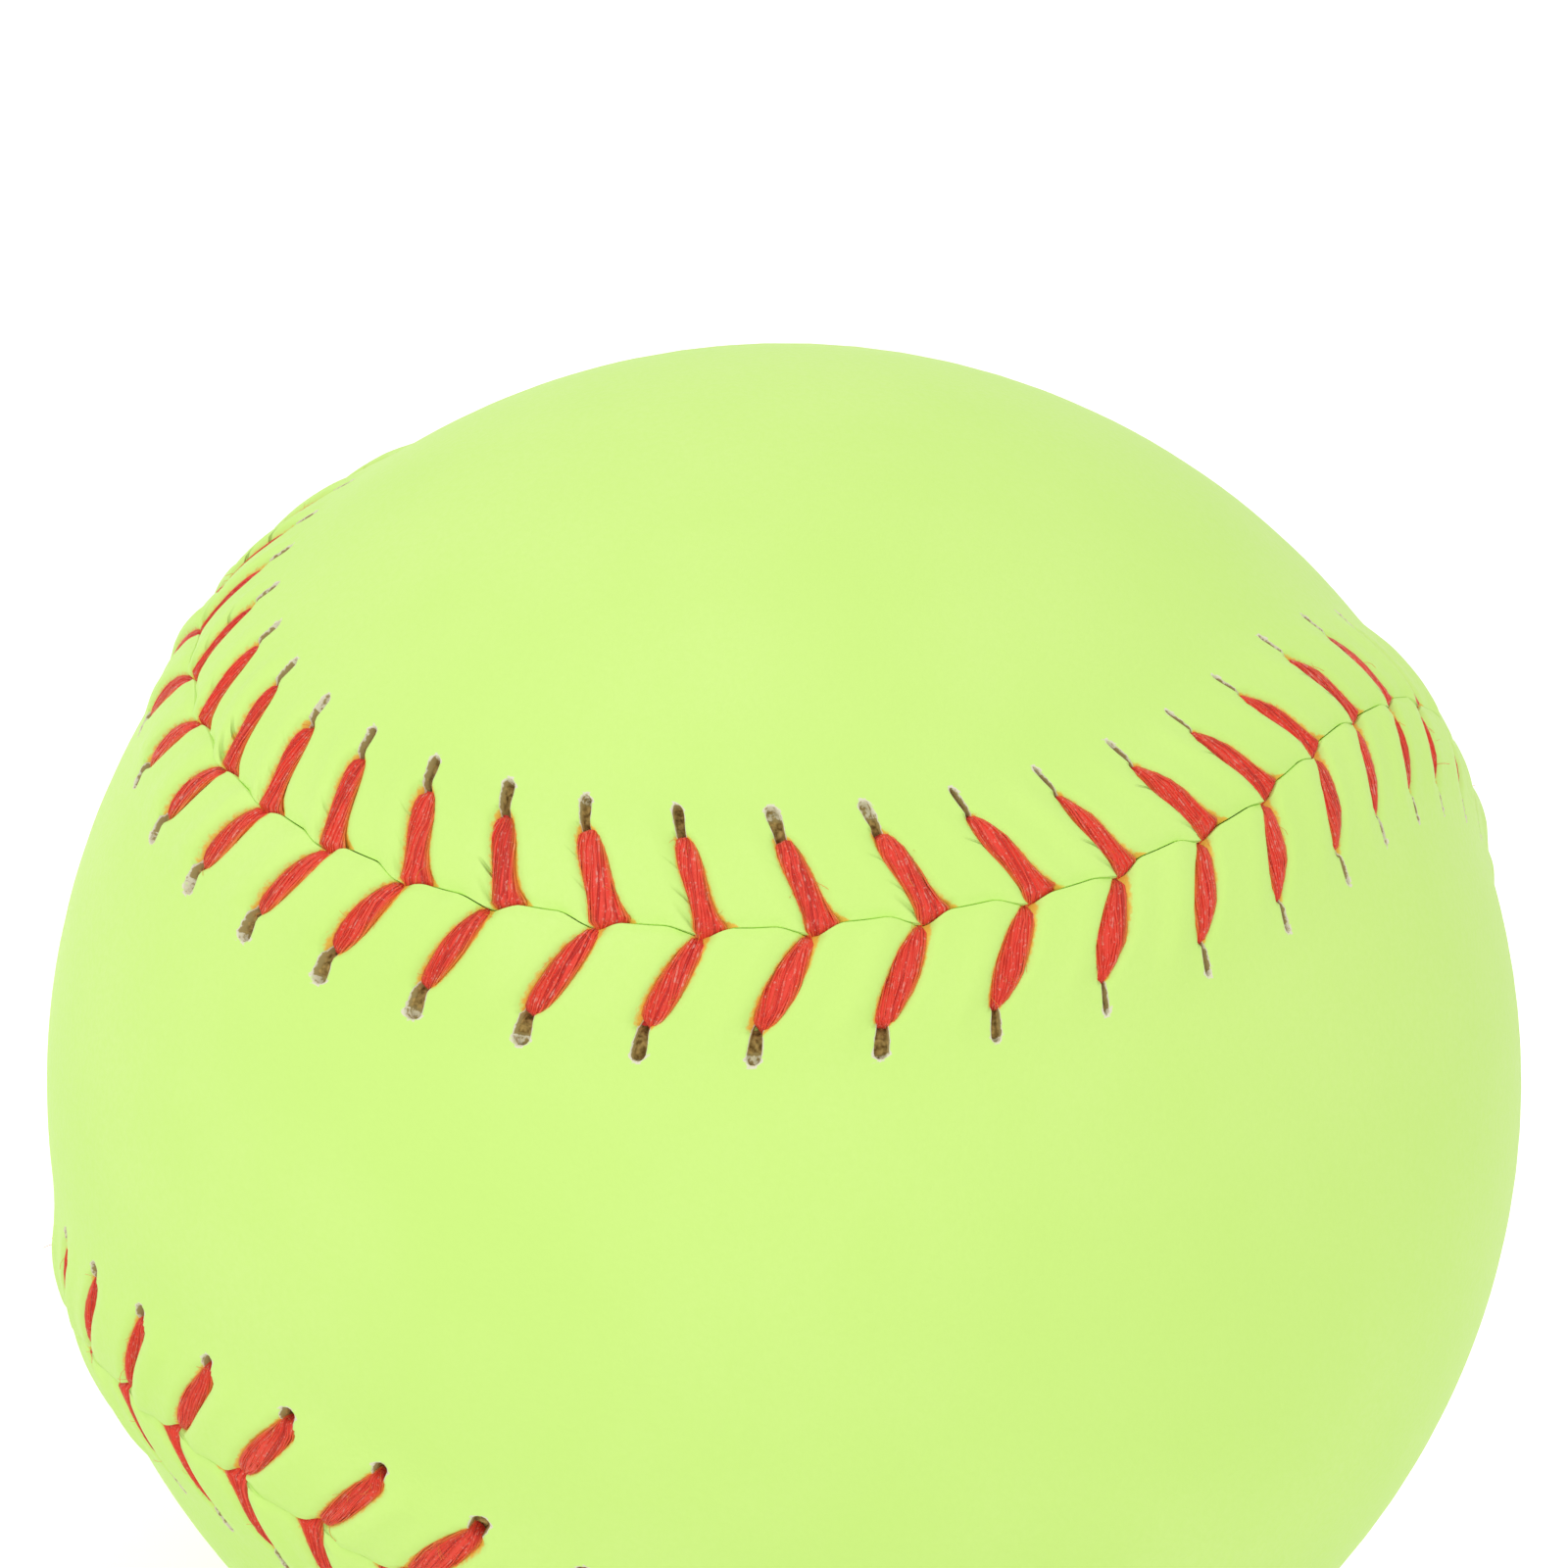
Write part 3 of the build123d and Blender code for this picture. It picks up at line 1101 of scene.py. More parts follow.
@dataclass
class CoverPanel:
    """One figure-eight panel of leather, as a closed shell on a grid along and across the seam.

    Each stitch has a set of columns. Fine rows lie at set distances from the seam, where they carry the sewn
    relief and the slots. Rows of the open field, and those inside the panel, have fewer columns.
    """

    seam: Seam
    relief: SewnRelief
    panel: Panel
    thickness: float = 1.5
    slot_start: float = 4.6
    slot_end: float = 7.4
    slot_half_width: float = 0.5
    slot_depth: float = 0.85
    slot_lead: float = 0.8
    slot_trail: float = 0.9
    slot_round: float = 0.45
    round_limit: float = 0.97
    round_past: float = 0.2
    keyhole: float = 0.72
    keyhole_span: Span = (5.3, 6.7)
    pull_reach: float = 1.25
    floor_bumps: float = 0.12
    floor_seed: int = 7
    pale_end: float = 1.2
    rim_drop: float = 0.05
    halo_span: Span = (-0.4, 0.15)
    halo_width: float = 0.2
    half_gap: float = 0.015
    gap_reach: float = 1.0
    gap_depth: float = 0.75
    gap_steps: tuple[float, float] = (0.2, 0.6)
    wall_reaches: tuple[float, float] = (0.25, 0.3)
    wall_drop: float = 0.1
    inner_lift: float = 0.6
    inner_reaches: tuple[float, float, float] = (2.5, 5.0, 9.2)
    sway_span: Span = (1.2, 2.9)
    shear_span: Span = (8.0, 15.0)
    column_places: tuple[float, ...] = (
        -2.8, -2.45, -2.1, -1.8, -1.5, -1.25, -1.0, -0.8, -0.64, -0.5, -0.42, -0.14,
        0.14, 0.42, 0.5, 0.64, 0.8, 1.0, 1.25, 1.5, 1.8, 2.1, 2.5, 2.95,
    )
    row_places: tuple[float, ...] = (
        0.02, 0.07, 0.15, 0.28, 0.46, 0.7, 1.0, 1.35, 1.75, 2.2, 2.65, 3.1, 3.55, 3.95, 4.3, 4.6, 4.85, 5.1,
        5.35, 5.65, 5.95, 6.25, 6.55, 6.82, 7.05, 7.22, 7.33, 7.4, 7.5, 7.65, 7.95, 8.45, 9.2,
    )
    foot_places: tuple[float, float] = (11.0, 10.0)
    field_rows: int = 14
    field_start: float = 12.4
    grid_slack: float = 0.01
    merge_distance: float = 0.001

    def __post_init__(self) -> None:
        """Place the grid's columns: on the stitches near the seam, and evenly in the open field."""
        seam, per_stitch = self.seam, len(self.column_places)
        count = seam.stitch_count * per_stitch
        stitch = np.repeat(np.arange(seam.stitch_count), per_stitch)
        aside = np.tile(np.array(self.column_places), seam.stitch_count)
        sewn = seam.entry(self.panel, stitch) + aside
        even = np.arange(count) * seam.length / count
        middle = LEGS[self.panel].offset(0.5 * sum(self.shear_span))
        shift = int(round(np.mean(sewn + middle - even) / (seam.length / count)))
        self.stitch, self.aside = np.roll(stitch, shift), np.roll(aside, shift)
        sewn = np.roll(sewn, shift)
        self.even = even
        self.sewn = sewn + seam.length * np.round((even - middle - sewn) / seam.length)

    @property
    def name(self) -> str:
        """Name of the piece."""
        return f"{self.panel.name.lower()}_cover"

    def along(self, reach: np.ndarray, columns: slice) -> np.ndarray:
        """Distance along the seam of a row of columns, which follow the stitches near the seam.

        Args:
            reach: Distance of each point from the seam.
            columns: The columns that the row has.

        Returns:
            One distance for each point.
        """
        hold = 1.0 - ease(*self.sway_span, np.abs(self.aside[columns]))
        stray = hold * self.relief.sway(self.panel, self.stitch[columns], reach)
        sewn = self.sewn[columns] + LEGS[self.panel].offset(reach) + stray
        straight = ease(*self.shear_span, reach)
        return sewn * (1.0 - straight) + self.even[columns] * straight

    def pulled(self, place: float) -> np.ndarray:
        """How far a row's columns draw in towards the slots, which are keyholes with a round end.

        Args:
            place: The row's distance from the seam.

        Returns:
            One distance along the seam for each column.
        """
        before = ease(self.slot_start - self.slot_lead, self.slot_start, place)
        after = ease(self.slot_end, self.slot_end + self.slot_trail, place)
        neck = self.keyhole + (1.0 - self.keyhole) * ease(*self.keyhole_span, place)
        share = self.relief.slot_share[self.panel][self.stitch] * neck
        width = 1.0 - (1.0 - share) * before * (1.0 - after)
        if place < self.slot_end + self.round_past:
            near_end = np.clip(1.0 - (self.slot_end - place) / self.slot_round, 0.0, self.round_limit)
            width = width * math.sqrt(1.0 - near_end**2)
        beside = ease(self.slot_half_width, self.pull_reach, np.abs(self.aside))
        return self.aside * (1.0 - width) * (1.0 - beside)

    def sewn_row(self, place: float, draw: np.random.Generator) -> GridRow:
        """One fine row of the outer surface.

        Args:
            place: The row's distance from the seam.
            draw: Source of the small bumps on the slots' floors.

        Returns:
            The row.
        """
        seam, relief, wide, slack = self.seam, self.relief, self.slot_half_width, self.grid_slack
        reach = np.full(self.aside.shape, place)
        pulled = self.pulled(place)
        along = self.along(reach, slice(None)) - pulled
        aside = self.aside - pulled
        gap = self.half_gap * (1.0 - ease(0.0, self.gap_reach, reach))
        across = relief.shifted(along, reach + gap, self.panel)

        beside, to_end = np.abs(self.aside), self.slot_end - place
        rim = (self.slot_start <= place <= self.slot_end) & (beside <= wide + slack)
        floor = rim & (beside < wide - slack) & (self.slot_start < place < self.slot_end)
        pale = floor & (to_end < self.pale_end * relief.pale_share[self.panel][self.stitch])
        halo = (self.halo_span[0] < -to_end < self.halo_span[1]) & (beside < wide + self.halo_width)
        levels = [level.value for level in (Pocket.PALE_END, Pocket.FLOOR, Pocket.RIM, Pocket.HALO)]

        drop = self.slot_depth + draw.uniform(-self.floor_bumps, self.floor_bumps, reach.shape)
        height = relief.height(self.panel, self.stitch, aside, reach)
        height = height - np.select([floor, rim], [drop, self.rim_drop], 0.0)
        turn = TURN * aside / seam.pitch
        return GridRow(
            points=seam.points(along, across, seam.ball_radius + height),
            pocket=np.select([pale, floor, rim, halo], levels, Pocket.SURFACE.value),
            leg_edge=relief.stain_edge(self.panel, self.stitch, aside, reach),
            sewn=np.stack([np.cos(turn), np.sin(turn), reach], axis=1),
            crease=relief.crease_share[self.stitch] * (self.panel is Panel.REAR),
        )

    def edge_row(self, reach: float, radius: float, columns: slice) -> GridRow:
        """One plain row: at the foot of the ridge, on the edge of the panel or on its inner face.

        Args:
            reach: The row's distance from the seam.
            radius: Its distance from the centre of the ball.
            columns: The columns that it has.

        Returns:
            The row.
        """
        reaches = np.full(self.even[columns].shape, reach)
        along = self.along(reaches, columns)
        across = self.relief.shifted(along, reaches, self.panel)
        return GridRow.plain(self.seam.points(along, across, np.full(reaches.shape, radius)))

    def field_row(self, share: float, radius: float, columns: slice) -> GridRow:
        """One row of the open field.

        Args:
            share: Share of the way from the field's start to the panel's middle line.
            radius: The row's distance from the centre of the ball.
            columns: The columns that it has.

        Returns:
            The row.
        """
        room = self.seam.spine_reach(self.even[columns], self.panel) - self.field_start
        reach = self.field_start + share * room
        across = self.panel.value * reach
        points = self.seam.points(self.along(reach, columns), across, np.full(reach.shape, radius))
        return GridRow.plain(points)

    def rows(self) -> list[GridRow]:
        """The closed rows of the shell.

        Returns:
            The rows from the outer middle line over the seam's edge to the inner middle line.
        """
        radius = self.seam.ball_radius
        bore = radius - self.thickness
        draw = np.random.default_rng(self.floor_seed + self.panel.value)
        whole, half, quarter, eighth = (slice(None, None, step) for step in (1, 2, 4, 8))
        shares = np.linspace(1.0, 0.0, self.field_rows)
        outer = [self.field_row(share, radius, eighth) for share in shares]
        outer += [self.edge_row(self.foot_places[0], radius, quarter)]
        outer += [self.edge_row(self.foot_places[1], radius, half)]
        fine = [self.sewn_row(place, draw) for place in reversed(self.row_places)]
        crest = radius + self.relief.ridge(self.half_gap) - self.relief.press
        lift = bore + self.inner_lift
        upper, lower = (crest - share * self.gap_depth for share in self.gap_steps)
        inner = [
            self.edge_row(self.half_gap, upper, whole),
            self.edge_row(self.wall_reaches[0], lower, half),
            self.edge_row(self.wall_reaches[1], lift - self.wall_drop, quarter),
            self.edge_row(self.inner_reaches[0], lift, quarter),
            self.edge_row(self.inner_reaches[1], lift, eighth),
            self.edge_row(self.inner_reaches[2], bore, eighth),
        ]
        inner += [self.field_row(share, bore, eighth) for share in reversed(shares)]
        return outer + fine + inner

    def build(self, material: bpy.types.Material) -> bpy.types.Object:
        """Build the panel as one closed mesh.

        Args:
            material: The leather.

        Returns:
            The piece.
        """
        rows = self.rows()
        mesh = bpy.data.meshes.new(self.name)
        starts = np.cumsum([0] + [len(row.points) for row in rows])
        faces: list[tuple[int, ...]] = []
        for row in range(len(rows) - 1):
            first = np.arange(starts[row], starts[row + 1])
            faces += self.strip(first, np.arange(starts[row + 1], starts[row + 2]))
        mesh.from_pydata((np.concatenate([row.points for row in rows]) * MM).tolist(), [], faces)
        for name in ("pocket", "leg_edge", "sewn", "crease"):
            store(mesh, name, np.concatenate([getattr(row, name) for row in rows]))
        grid = bmesh.new()
        grid.from_mesh(mesh)
        bmesh.ops.remove_doubles(grid, verts=grid.verts, dist=self.merge_distance * MM)
        bmesh.ops.recalc_face_normals(grid, faces=grid.faces)
        grid.to_mesh(mesh)
        grid.free()
        mesh.polygons.foreach_set("use_smooth", [True] * len(mesh.polygons))
        mesh.materials.append(material)
        mesh.update()
        return link(self.name, mesh)

    def strip(self, first: np.ndarray, second: np.ndarray) -> list[tuple[int, ...]]:
        """Faces between two closed rows, of which one may have half as many points.

        Args:
            first: Numbers of the points of one row.
            second: Numbers of the points of the next row.

        Returns:
            The faces.
        """
        if len(first) == len(second):
            quads = np.stack([first, np.roll(first, -1), np.roll(second, -1), second], axis=1)
            return [tuple(quad) for quad in quads.tolist()]
        fine, coarse = (first, second) if len(first) > len(second) else (second, first)
        even, odd, after = fine[0::2], fine[1::2], np.roll(fine, -2)[0::2]
        following = np.roll(coarse, -1)
        faces = np.concatenate(
            [
                np.stack([even, odd, coarse], axis=1),
                np.stack([odd, following, coarse], axis=1),
                np.stack([odd, after, following], axis=1),
            ]
        )
        return [tuple(face) for face in faces.tolist()]


def bake_tree(
    source: bpy.types.Object, tree: bpy.types.NodeTree, values: dict[str, Any], name: str
) -> bpy.types.Object:
    """Run a Geometry Nodes tree on an object and keep the result as a plain mesh.

    Args:
        source: The object that the tree starts from. It is removed.
        tree: The tree.
        values: The tree's inputs, by name.
        name: Name of the finished piece.

    Returns:
        The finished piece.
    """
    modifier = source.modifiers.new("nodes", "NODES")
    modifier.node_group = tree
    for item in tree.interface.items_tree:
        if item.item_type == "SOCKET" and item.in_out == "INPUT" and item.name in values:
            modifier[item.identifier] = values[item.name]
    shown = source.evaluated_get(bpy.context.evaluated_depsgraph_get())
    mesh = bpy.data.meshes.new_from_object(shown)
    old = source.data
    bpy.data.objects.remove(source)
    bpy.data.meshes.remove(old)
    mesh.name = name
    return link(name, mesh)


@dataclass
class SewingThread:
    """One of the two threads: twisted legs over the leather, and runs under the cover between them.

    A draw holds the limits of a random number that each leg has of its own.
    """

    seam: Seam
    relief: SewnRelief
    name: str
    first_panel: Panel
    seed: int
    strands: int = 28
    body_sides: int = 10
    body_share: float = 0.92
    strand_radius: float = 0.072
    turns: float = 0.42
    wobble: float = 0.16
    end_draw: Span = (-0.26, 0.2)
    bow_draw: Span = (-0.12, 0.16)
    ripple: float = 0.08
    ripple_waves: float = 1.6
    flat_reach: float = 0.6
    base_span: Span = (2.2, 0.3)
    run_radius: float = 0.3
    run_level: float = 47.15
    seam_level: float = 48.3
    slot_level: float = 48.2
    slot_foot: float = 5.1
    under_reach: float = 1.2
    fluff_density: float = 0.13

    def panel_of(self, stitch: int) -> Panel:
        """The panel that this thread sews at a stitch: it changes at every stitch."""
        return Panel(self.first_panel.value * (-1) ** stitch)

    def leg(self, stitch: int, draw: np.random.Generator) -> dict[str, np.ndarray]:
        """The middle line of one leg, with its cross directions and sizes.

        Args:
            stitch: Number of the stitch.
            draw: Source of the differences between legs.

        Returns:
            Points, directions and sizes by name.
        """
        seam, relief, panel = self.seam, self.relief, self.panel_of(stitch)
        shape = LEGS[panel]
        usual = np.array(shape.reach)
        share = np.linspace(0.0, 1.0, len(usual))
        extra = draw.uniform(*self.end_draw) + relief.extra_reach[panel][stitch]
        reach = usual + extra * ease(*relief.long_span, usual)
        bow = draw.uniform(*self.bow_draw) * np.sin(np.pi * share)
        ripple = 1.0 + self.ripple * np.sin(TURN * (self.ripple_waves * share + draw.uniform(0.0, 1.0)))

        along = seam.entry(panel, stitch) + shape.offset(reach) + relief.sway(panel, stitch, reach) + bow
        across = relief.shifted(along, reach, panel)
        flat = seam.ball_radius + relief.ridge(np.maximum(reach, self.flat_reach))
        points = seam.points(along, across, flat + np.array(shape.lift))
        up = unit(points)

        ball, step = np.full(reach.shape, seam.ball_radius), 0.1
        ground = seam.points(along, across, ball)
        aside = unit(np.cross(unit(np.gradient(ground, axis=0)), up))
        seamwise = unit(seam.points(along + step, across + step * shape.base_turn, ball) - ground)
        aside = aside * np.sign(np.sum(aside * seamwise, axis=1, keepdims=True))
        turn = ease(*self.base_span, reach)[:, None] * (panel is Panel.REAR)
        return {
            "point": points,
            "aside": unit(aside * (1.0 - turn) + seamwise * turn),
            "up": up,
            "half_width": relief.half_width(panel, stitch, usual) * ripple,
            "half_depth": np.array(shape.half_depth),
            "turn": share,
        }

    def run(self, stitch: int) -> np.ndarray:
        """The run under the cover from one leg's seam end to the next slot.

        Args:
            stitch: Number of the stitch that the run follows.

        Returns:
            The points of its line.
        """
        seam, panel, other = self.seam, self.panel_of(stitch), self.panel_of(stitch + 1)
        entry, after = seam.entry(panel, stitch), seam.entry(other, stitch + 1)
        foot = after + LEGS[other].offset(self.slot_foot)
        along = np.array([entry, entry, entry, foot, foot])
        across = other.value * np.array([0.0, 0.0, self.under_reach, self.slot_foot, self.slot_foot])
        level = np.array([self.seam_level, self.run_level, self.run_level, self.run_level, self.slot_level])
        return seam.points(along, across, level)

    def paths(self) -> bpy.types.Object:
        """The legs and runs as lines, with what the tree needs stored on their points.

        Returns:
            The object that the tree starts from.
        """
        draw = np.random.default_rng(self.seed)
        layers: dict[str, list[np.ndarray]] = {
            key: [] for key in ("point", "aside", "up", "half_width", "half_depth", "turn", "leg", "hidden")
        }
        lines: list[np.ndarray] = []
        count = 0
        for stitch in range(self.seam.stitch_count):
            leg, run = self.leg(stitch, draw), self.run(stitch)
            still = {"aside": np.zeros_like(run), "up": np.zeros_like(run)}
            still |= {key: np.zeros(len(run)) for key in ("half_width", "half_depth", "turn")}
            for values, hidden in ((leg, 0.0), ({"point": run, **still}, 1.0)):
                size = len(values["point"])
                values |= {"leg": np.full(size, float(stitch)), "hidden": np.full(size, hidden)}
                for key, layer in layers.items():
                    layer.append(values[key])
                lines.append(np.stack([np.arange(size - 1), np.arange(1, size)], axis=1) + count)
                count += size
        mesh = bpy.data.meshes.new(f"{self.name}_paths")
        points = np.concatenate(layers.pop("point")) * MM
        mesh.from_pydata(points.tolist(), np.concatenate(lines).tolist(), [])
        for key, layer in layers.items():
            store(mesh, key, np.concatenate(layer) * (MM if key.startswith("half") else 1.0))
        return link(f"{self.name}_paths", mesh)

    def build(self, tree: bpy.types.NodeTree, material: bpy.types.Material) -> bpy.types.Object:
        """Build the thread as one plain mesh.

        Args:
            tree: The tree that lays strands along the paths.
            material: The thread's finish.

        Returns:
            The piece.
        """
        values = {
            "Strands": self.strands,
            "Body Sides": self.body_sides,
            "Body Share": self.body_share,
            "Strand Radius": self.strand_radius * MM,
            "Turns": self.turns,
            "Wobble": self.wobble,
            "Run Radius": self.run_radius * MM,
            "Fluff Density": self.fluff_density / MM**2,
            "Seed": self.seed,
            "Material": material,
        }
        return bake_tree(self.paths(), tree, values, self.name)


@dataclass(frozen=True)
class TwistedLegs:
    """The Geometry Nodes tree that lays twisted strands, loose fluff and hidden runs along thread paths."""

    run_sides: int = 6
    strand_sides: int = 3
    ring_radius: float = 0.1
    body_tone: float = 0.4
    legs_apart: float = 64.0
    strands_apart: float = 1.37
    drift_waves: float = 3.5
    dash_waves: float = 11.0
    swell: Span = (0.9, 1.08)
    # Painted bounce light: how sharply and how much the strands' side edges turn orange.
    bounce_edge: float = 8.0
    bounce_share: float = 0.7
    full_half_width: float = 0.7
    least_thickness: float = 0.55
    hair_radius: float = 0.012
    hair_steps: int = 3
    hair_middle: Place = (0.2, 0.0, 0.35)
    hair_end: Place = (0.7, 0.1, 0.3)
    hair_fray: float = 0.8
    hair_size: Span = (0.4, 1.5)

    def tree(self) -> bpy.types.NodeTree:
        """Build the tree.

        Returns:
            The tree, which starts from a thread's paths.
        """
        maker = TreeMaker(bpy.data.node_groups.new("twisted_legs", "GeometryNodeTree"))
        kinds = {
            "Geometry": (SocketKind.GEOMETRY, None),
            "Strands": (SocketKind.COUNT, 20),
            "Body Sides": (SocketKind.COUNT, 10),
            "Body Share": (SocketKind.NUMBER, 0.9),
            "Strand Radius": (SocketKind.NUMBER, 0.0001),
            "Turns": (SocketKind.NUMBER, 0.3),
            "Wobble": (SocketKind.NUMBER, 0.1),
            "Run Radius": (SocketKind.NUMBER, 0.0003),
            "Fluff Density": (SocketKind.NUMBER, 1.0e6),
            "Seed": (SocketKind.COUNT, 1),
            "Material": (SocketKind.MATERIAL, None),
        }
        given = maker.sockets(kinds, ("Geometry", SocketKind.GEOMETRY))
        curves = maker.add("GeometryNodeMeshToCurve", {"Mesh": given["Geometry"]}).outputs[0]
        chosen = {"Geometry": curves, "Selection": maker.named("hidden")}
        hidden, legs = maker.add("GeometryNodeSeparateGeometry", chosen, domain="CURVE").outputs
        runs = maker.tubes(hidden, self.run_sides, given["Run Radius"])
        strands = self._strands(maker, legs, given)
        parts = (runs, self._bodies(maker, legs, given), strands, self._fluff(maker, strands, given))
        maker.close(parts, given["Material"])
        return maker.tree

    def _round(self, maker: TreeMaker, angle: Socket, size: Socket) -> Socket:
        """Way from a leg's middle line to a point on its flat round outline.

        Args:
            maker: The tree's maker.
            angle: Where on the outline the point lies.
            size: Share of the leg's width and depth.

        Returns:
            The way as a vector.
        """
        wide = maker.times(maker.named("half_width"), maker.math("COSINE", angle))
        deep = maker.times(maker.named("half_depth"), maker.math("SINE", angle))
        sideways = maker.scaled(maker.named("aside", "FLOAT_VECTOR"), maker.times(wide, size))
        upwards = maker.scaled(maker.named("up", "FLOAT_VECTOR"), maker.times(deep, size))
        return maker.vector("ADD", sideways, upwards)

    def _bodies(self, maker: TreeMaker, legs: Socket, given: Any) -> Socket:
        """A flat round body inside each leg, which closes the gaps between its strands.

        Args:
            maker: The tree's maker.
            legs: The legs' middle lines.
            given: The tree's inputs.

        Returns:
            The mesh.
        """
        place = maker.add("GeometryNodeInputPosition").outputs[0]
        legs = maker.keep(legs, "middle", place, "FLOAT_VECTOR")
        thin = {"Resolution": given["Body Sides"], "Radius": self.ring_radius * MM}
        ring = maker.add("GeometryNodeCurvePrimitiveCircle", thin)
        share = maker.math("DIVIDE", maker.add("GeometryNodeInputIndex").outputs[0], given["Body Sides"])
        ring = maker.keep(ring.outputs[0], "ring", share)
        inputs = {"Curve": legs, "Profile Curve": ring, "Fill Caps": True}
        tube = maker.add("GeometryNodeCurveToMesh", inputs).outputs[0]
        way = self._round(maker, maker.times(maker.named("ring"), TURN), given["Body Share"])
        outline = maker.vector("ADD", maker.named("middle", "FLOAT_VECTOR"), way)
        shaped = maker.add("GeometryNodeSetPosition", {"Geometry": tube, "Position": outline}).outputs[0]
        return maker.keep(shaped, "tone", self.body_tone)

    def _strands(self, maker: TreeMaker, legs: Socket, given: Any) -> Socket:
        """Twisted strands round the middle line of each leg.

        Args:
            maker: The tree's maker.
            legs: The legs' middle lines.
            given: The tree's inputs.

        Returns:
            The mesh.
        """
        amount = {"Geometry": legs, "Amount": given["Strands"]}
        copies, number = maker.add("GeometryNodeDuplicateElements", amount, domain="SPLINE").outputs
        identity = maker.plus(maker.times(maker.named("leg"), self.legs_apart), number)
        across = maker.times(identity, self.strands_apart)

        drift = {"Vector": maker.flat(maker.times(maker.named("turn"), self.drift_waves), across)}
        drift |= {"Scale": 1.0, "Detail": 1.0}
        stray = maker.minus(maker.add("ShaderNodeTexNoise", drift).outputs[0], 0.5)
        start = maker.plus(
            maker.math("DIVIDE", number, given["Strands"]),
            maker.random(maker.named("leg"), given["Seed"], (0.0, 1.0)),
        )
        twist = maker.times(maker.named("turn"), given["Turns"])
        turn = maker.plus(start, maker.plus(twist, maker.times(stray, given["Wobble"])))
        angle = maker.times(turn, TURN)

        toned = maker.keep(copies, "tone", maker.random(identity, given["Seed"], (0.0, 1.0)))
        # Painted bounce light: strands at the leg's side edges are marked orange, as if lit by the yellow
        # leather.
        edge = maker.math("POWER", maker.math("ABSOLUTE", maker.math("COSINE", angle)), self.bounce_edge)
        fray_and_bounce = maker.keep(toned, "fray", maker.times(edge, self.bounce_share))
        lay = maker.flat(maker.times(maker.named("turn"), self.dash_waves), across)
        laid = maker.keep(fray_and_bounce, "lay", lay, "FLOAT_VECTOR")

        swell = maker.random(identity, given["Seed"], self.swell)
        outline = {"Geometry": laid, "Offset": self._round(maker, angle, swell)}
        moved = maker.add("GeometryNodeSetPosition", outline).outputs[0]
        broad = maker.math("DIVIDE", maker.named("half_width"), self.full_half_width * MM)
        thick = maker.plus(self.least_thickness, maker.times(broad, 1.0 - self.least_thickness))
        sized = maker.add("GeometryNodeSetCurveRadius", {"Curve": moved, "Radius": thick}).outputs[0]
        return maker.tubes(sized, self.strand_sides, given["Strand Radius"])

    def _fluff(self, maker: TreeMaker, strands: Socket, given: Any) -> Socket:
        """Short loose fibres that stand off the legs.

        Args:
            maker: The tree's maker.
            strands: The strands' mesh.
            given: The tree's inputs.

        Returns:
            The mesh.
        """
        spread = {"Mesh": strands, "Density": given["Fluff Density"], "Seed": given["Seed"]}
        points = maker.add("GeometryNodeDistributePointsOnFaces", spread).outputs
        bend = {"Resolution": self.hair_steps, "Start": (0.0, 0.0, 0.0)}
        bend |= {"Middle": tuple(part * MM for part in self.hair_middle)}
        bend |= {"End": tuple(part * MM for part in self.hair_end)}
        arch = maker.add("GeometryNodeCurveQuadraticBezier", bend).outputs[0]
        hair = maker.tubes(arch, self.strand_sides, self.hair_radius * MM)
        hair = maker.keep(hair, "fray", self.hair_fray)

        index = maker.add("GeometryNodeInputIndex").outputs[0]
        spin = {"Axis": (0.0, 0.0, 1.0), "Angle": maker.random(index, given["Seed"], (0.0, TURN))}
        turned = maker.add("FunctionNodeAxisAngleToRotation", spin).outputs[0]
        facing = {"Rotation": points["Rotation"], "Rotate By": turned}
        facing = maker.add("FunctionNodeRotateRotation", facing, rotation_space="LOCAL").outputs[0]
        size = maker.random(index, given["Seed"], self.hair_size)
        laid = {"Points": points["Points"], "Instance": hair, "Rotation": facing, "Scale": size}
        placed = maker.add("GeometryNodeInstanceOnPoints", laid).outputs[0]
        return maker.add("GeometryNodeRealizeInstances", {"Geometry": placed}).outputs[0]


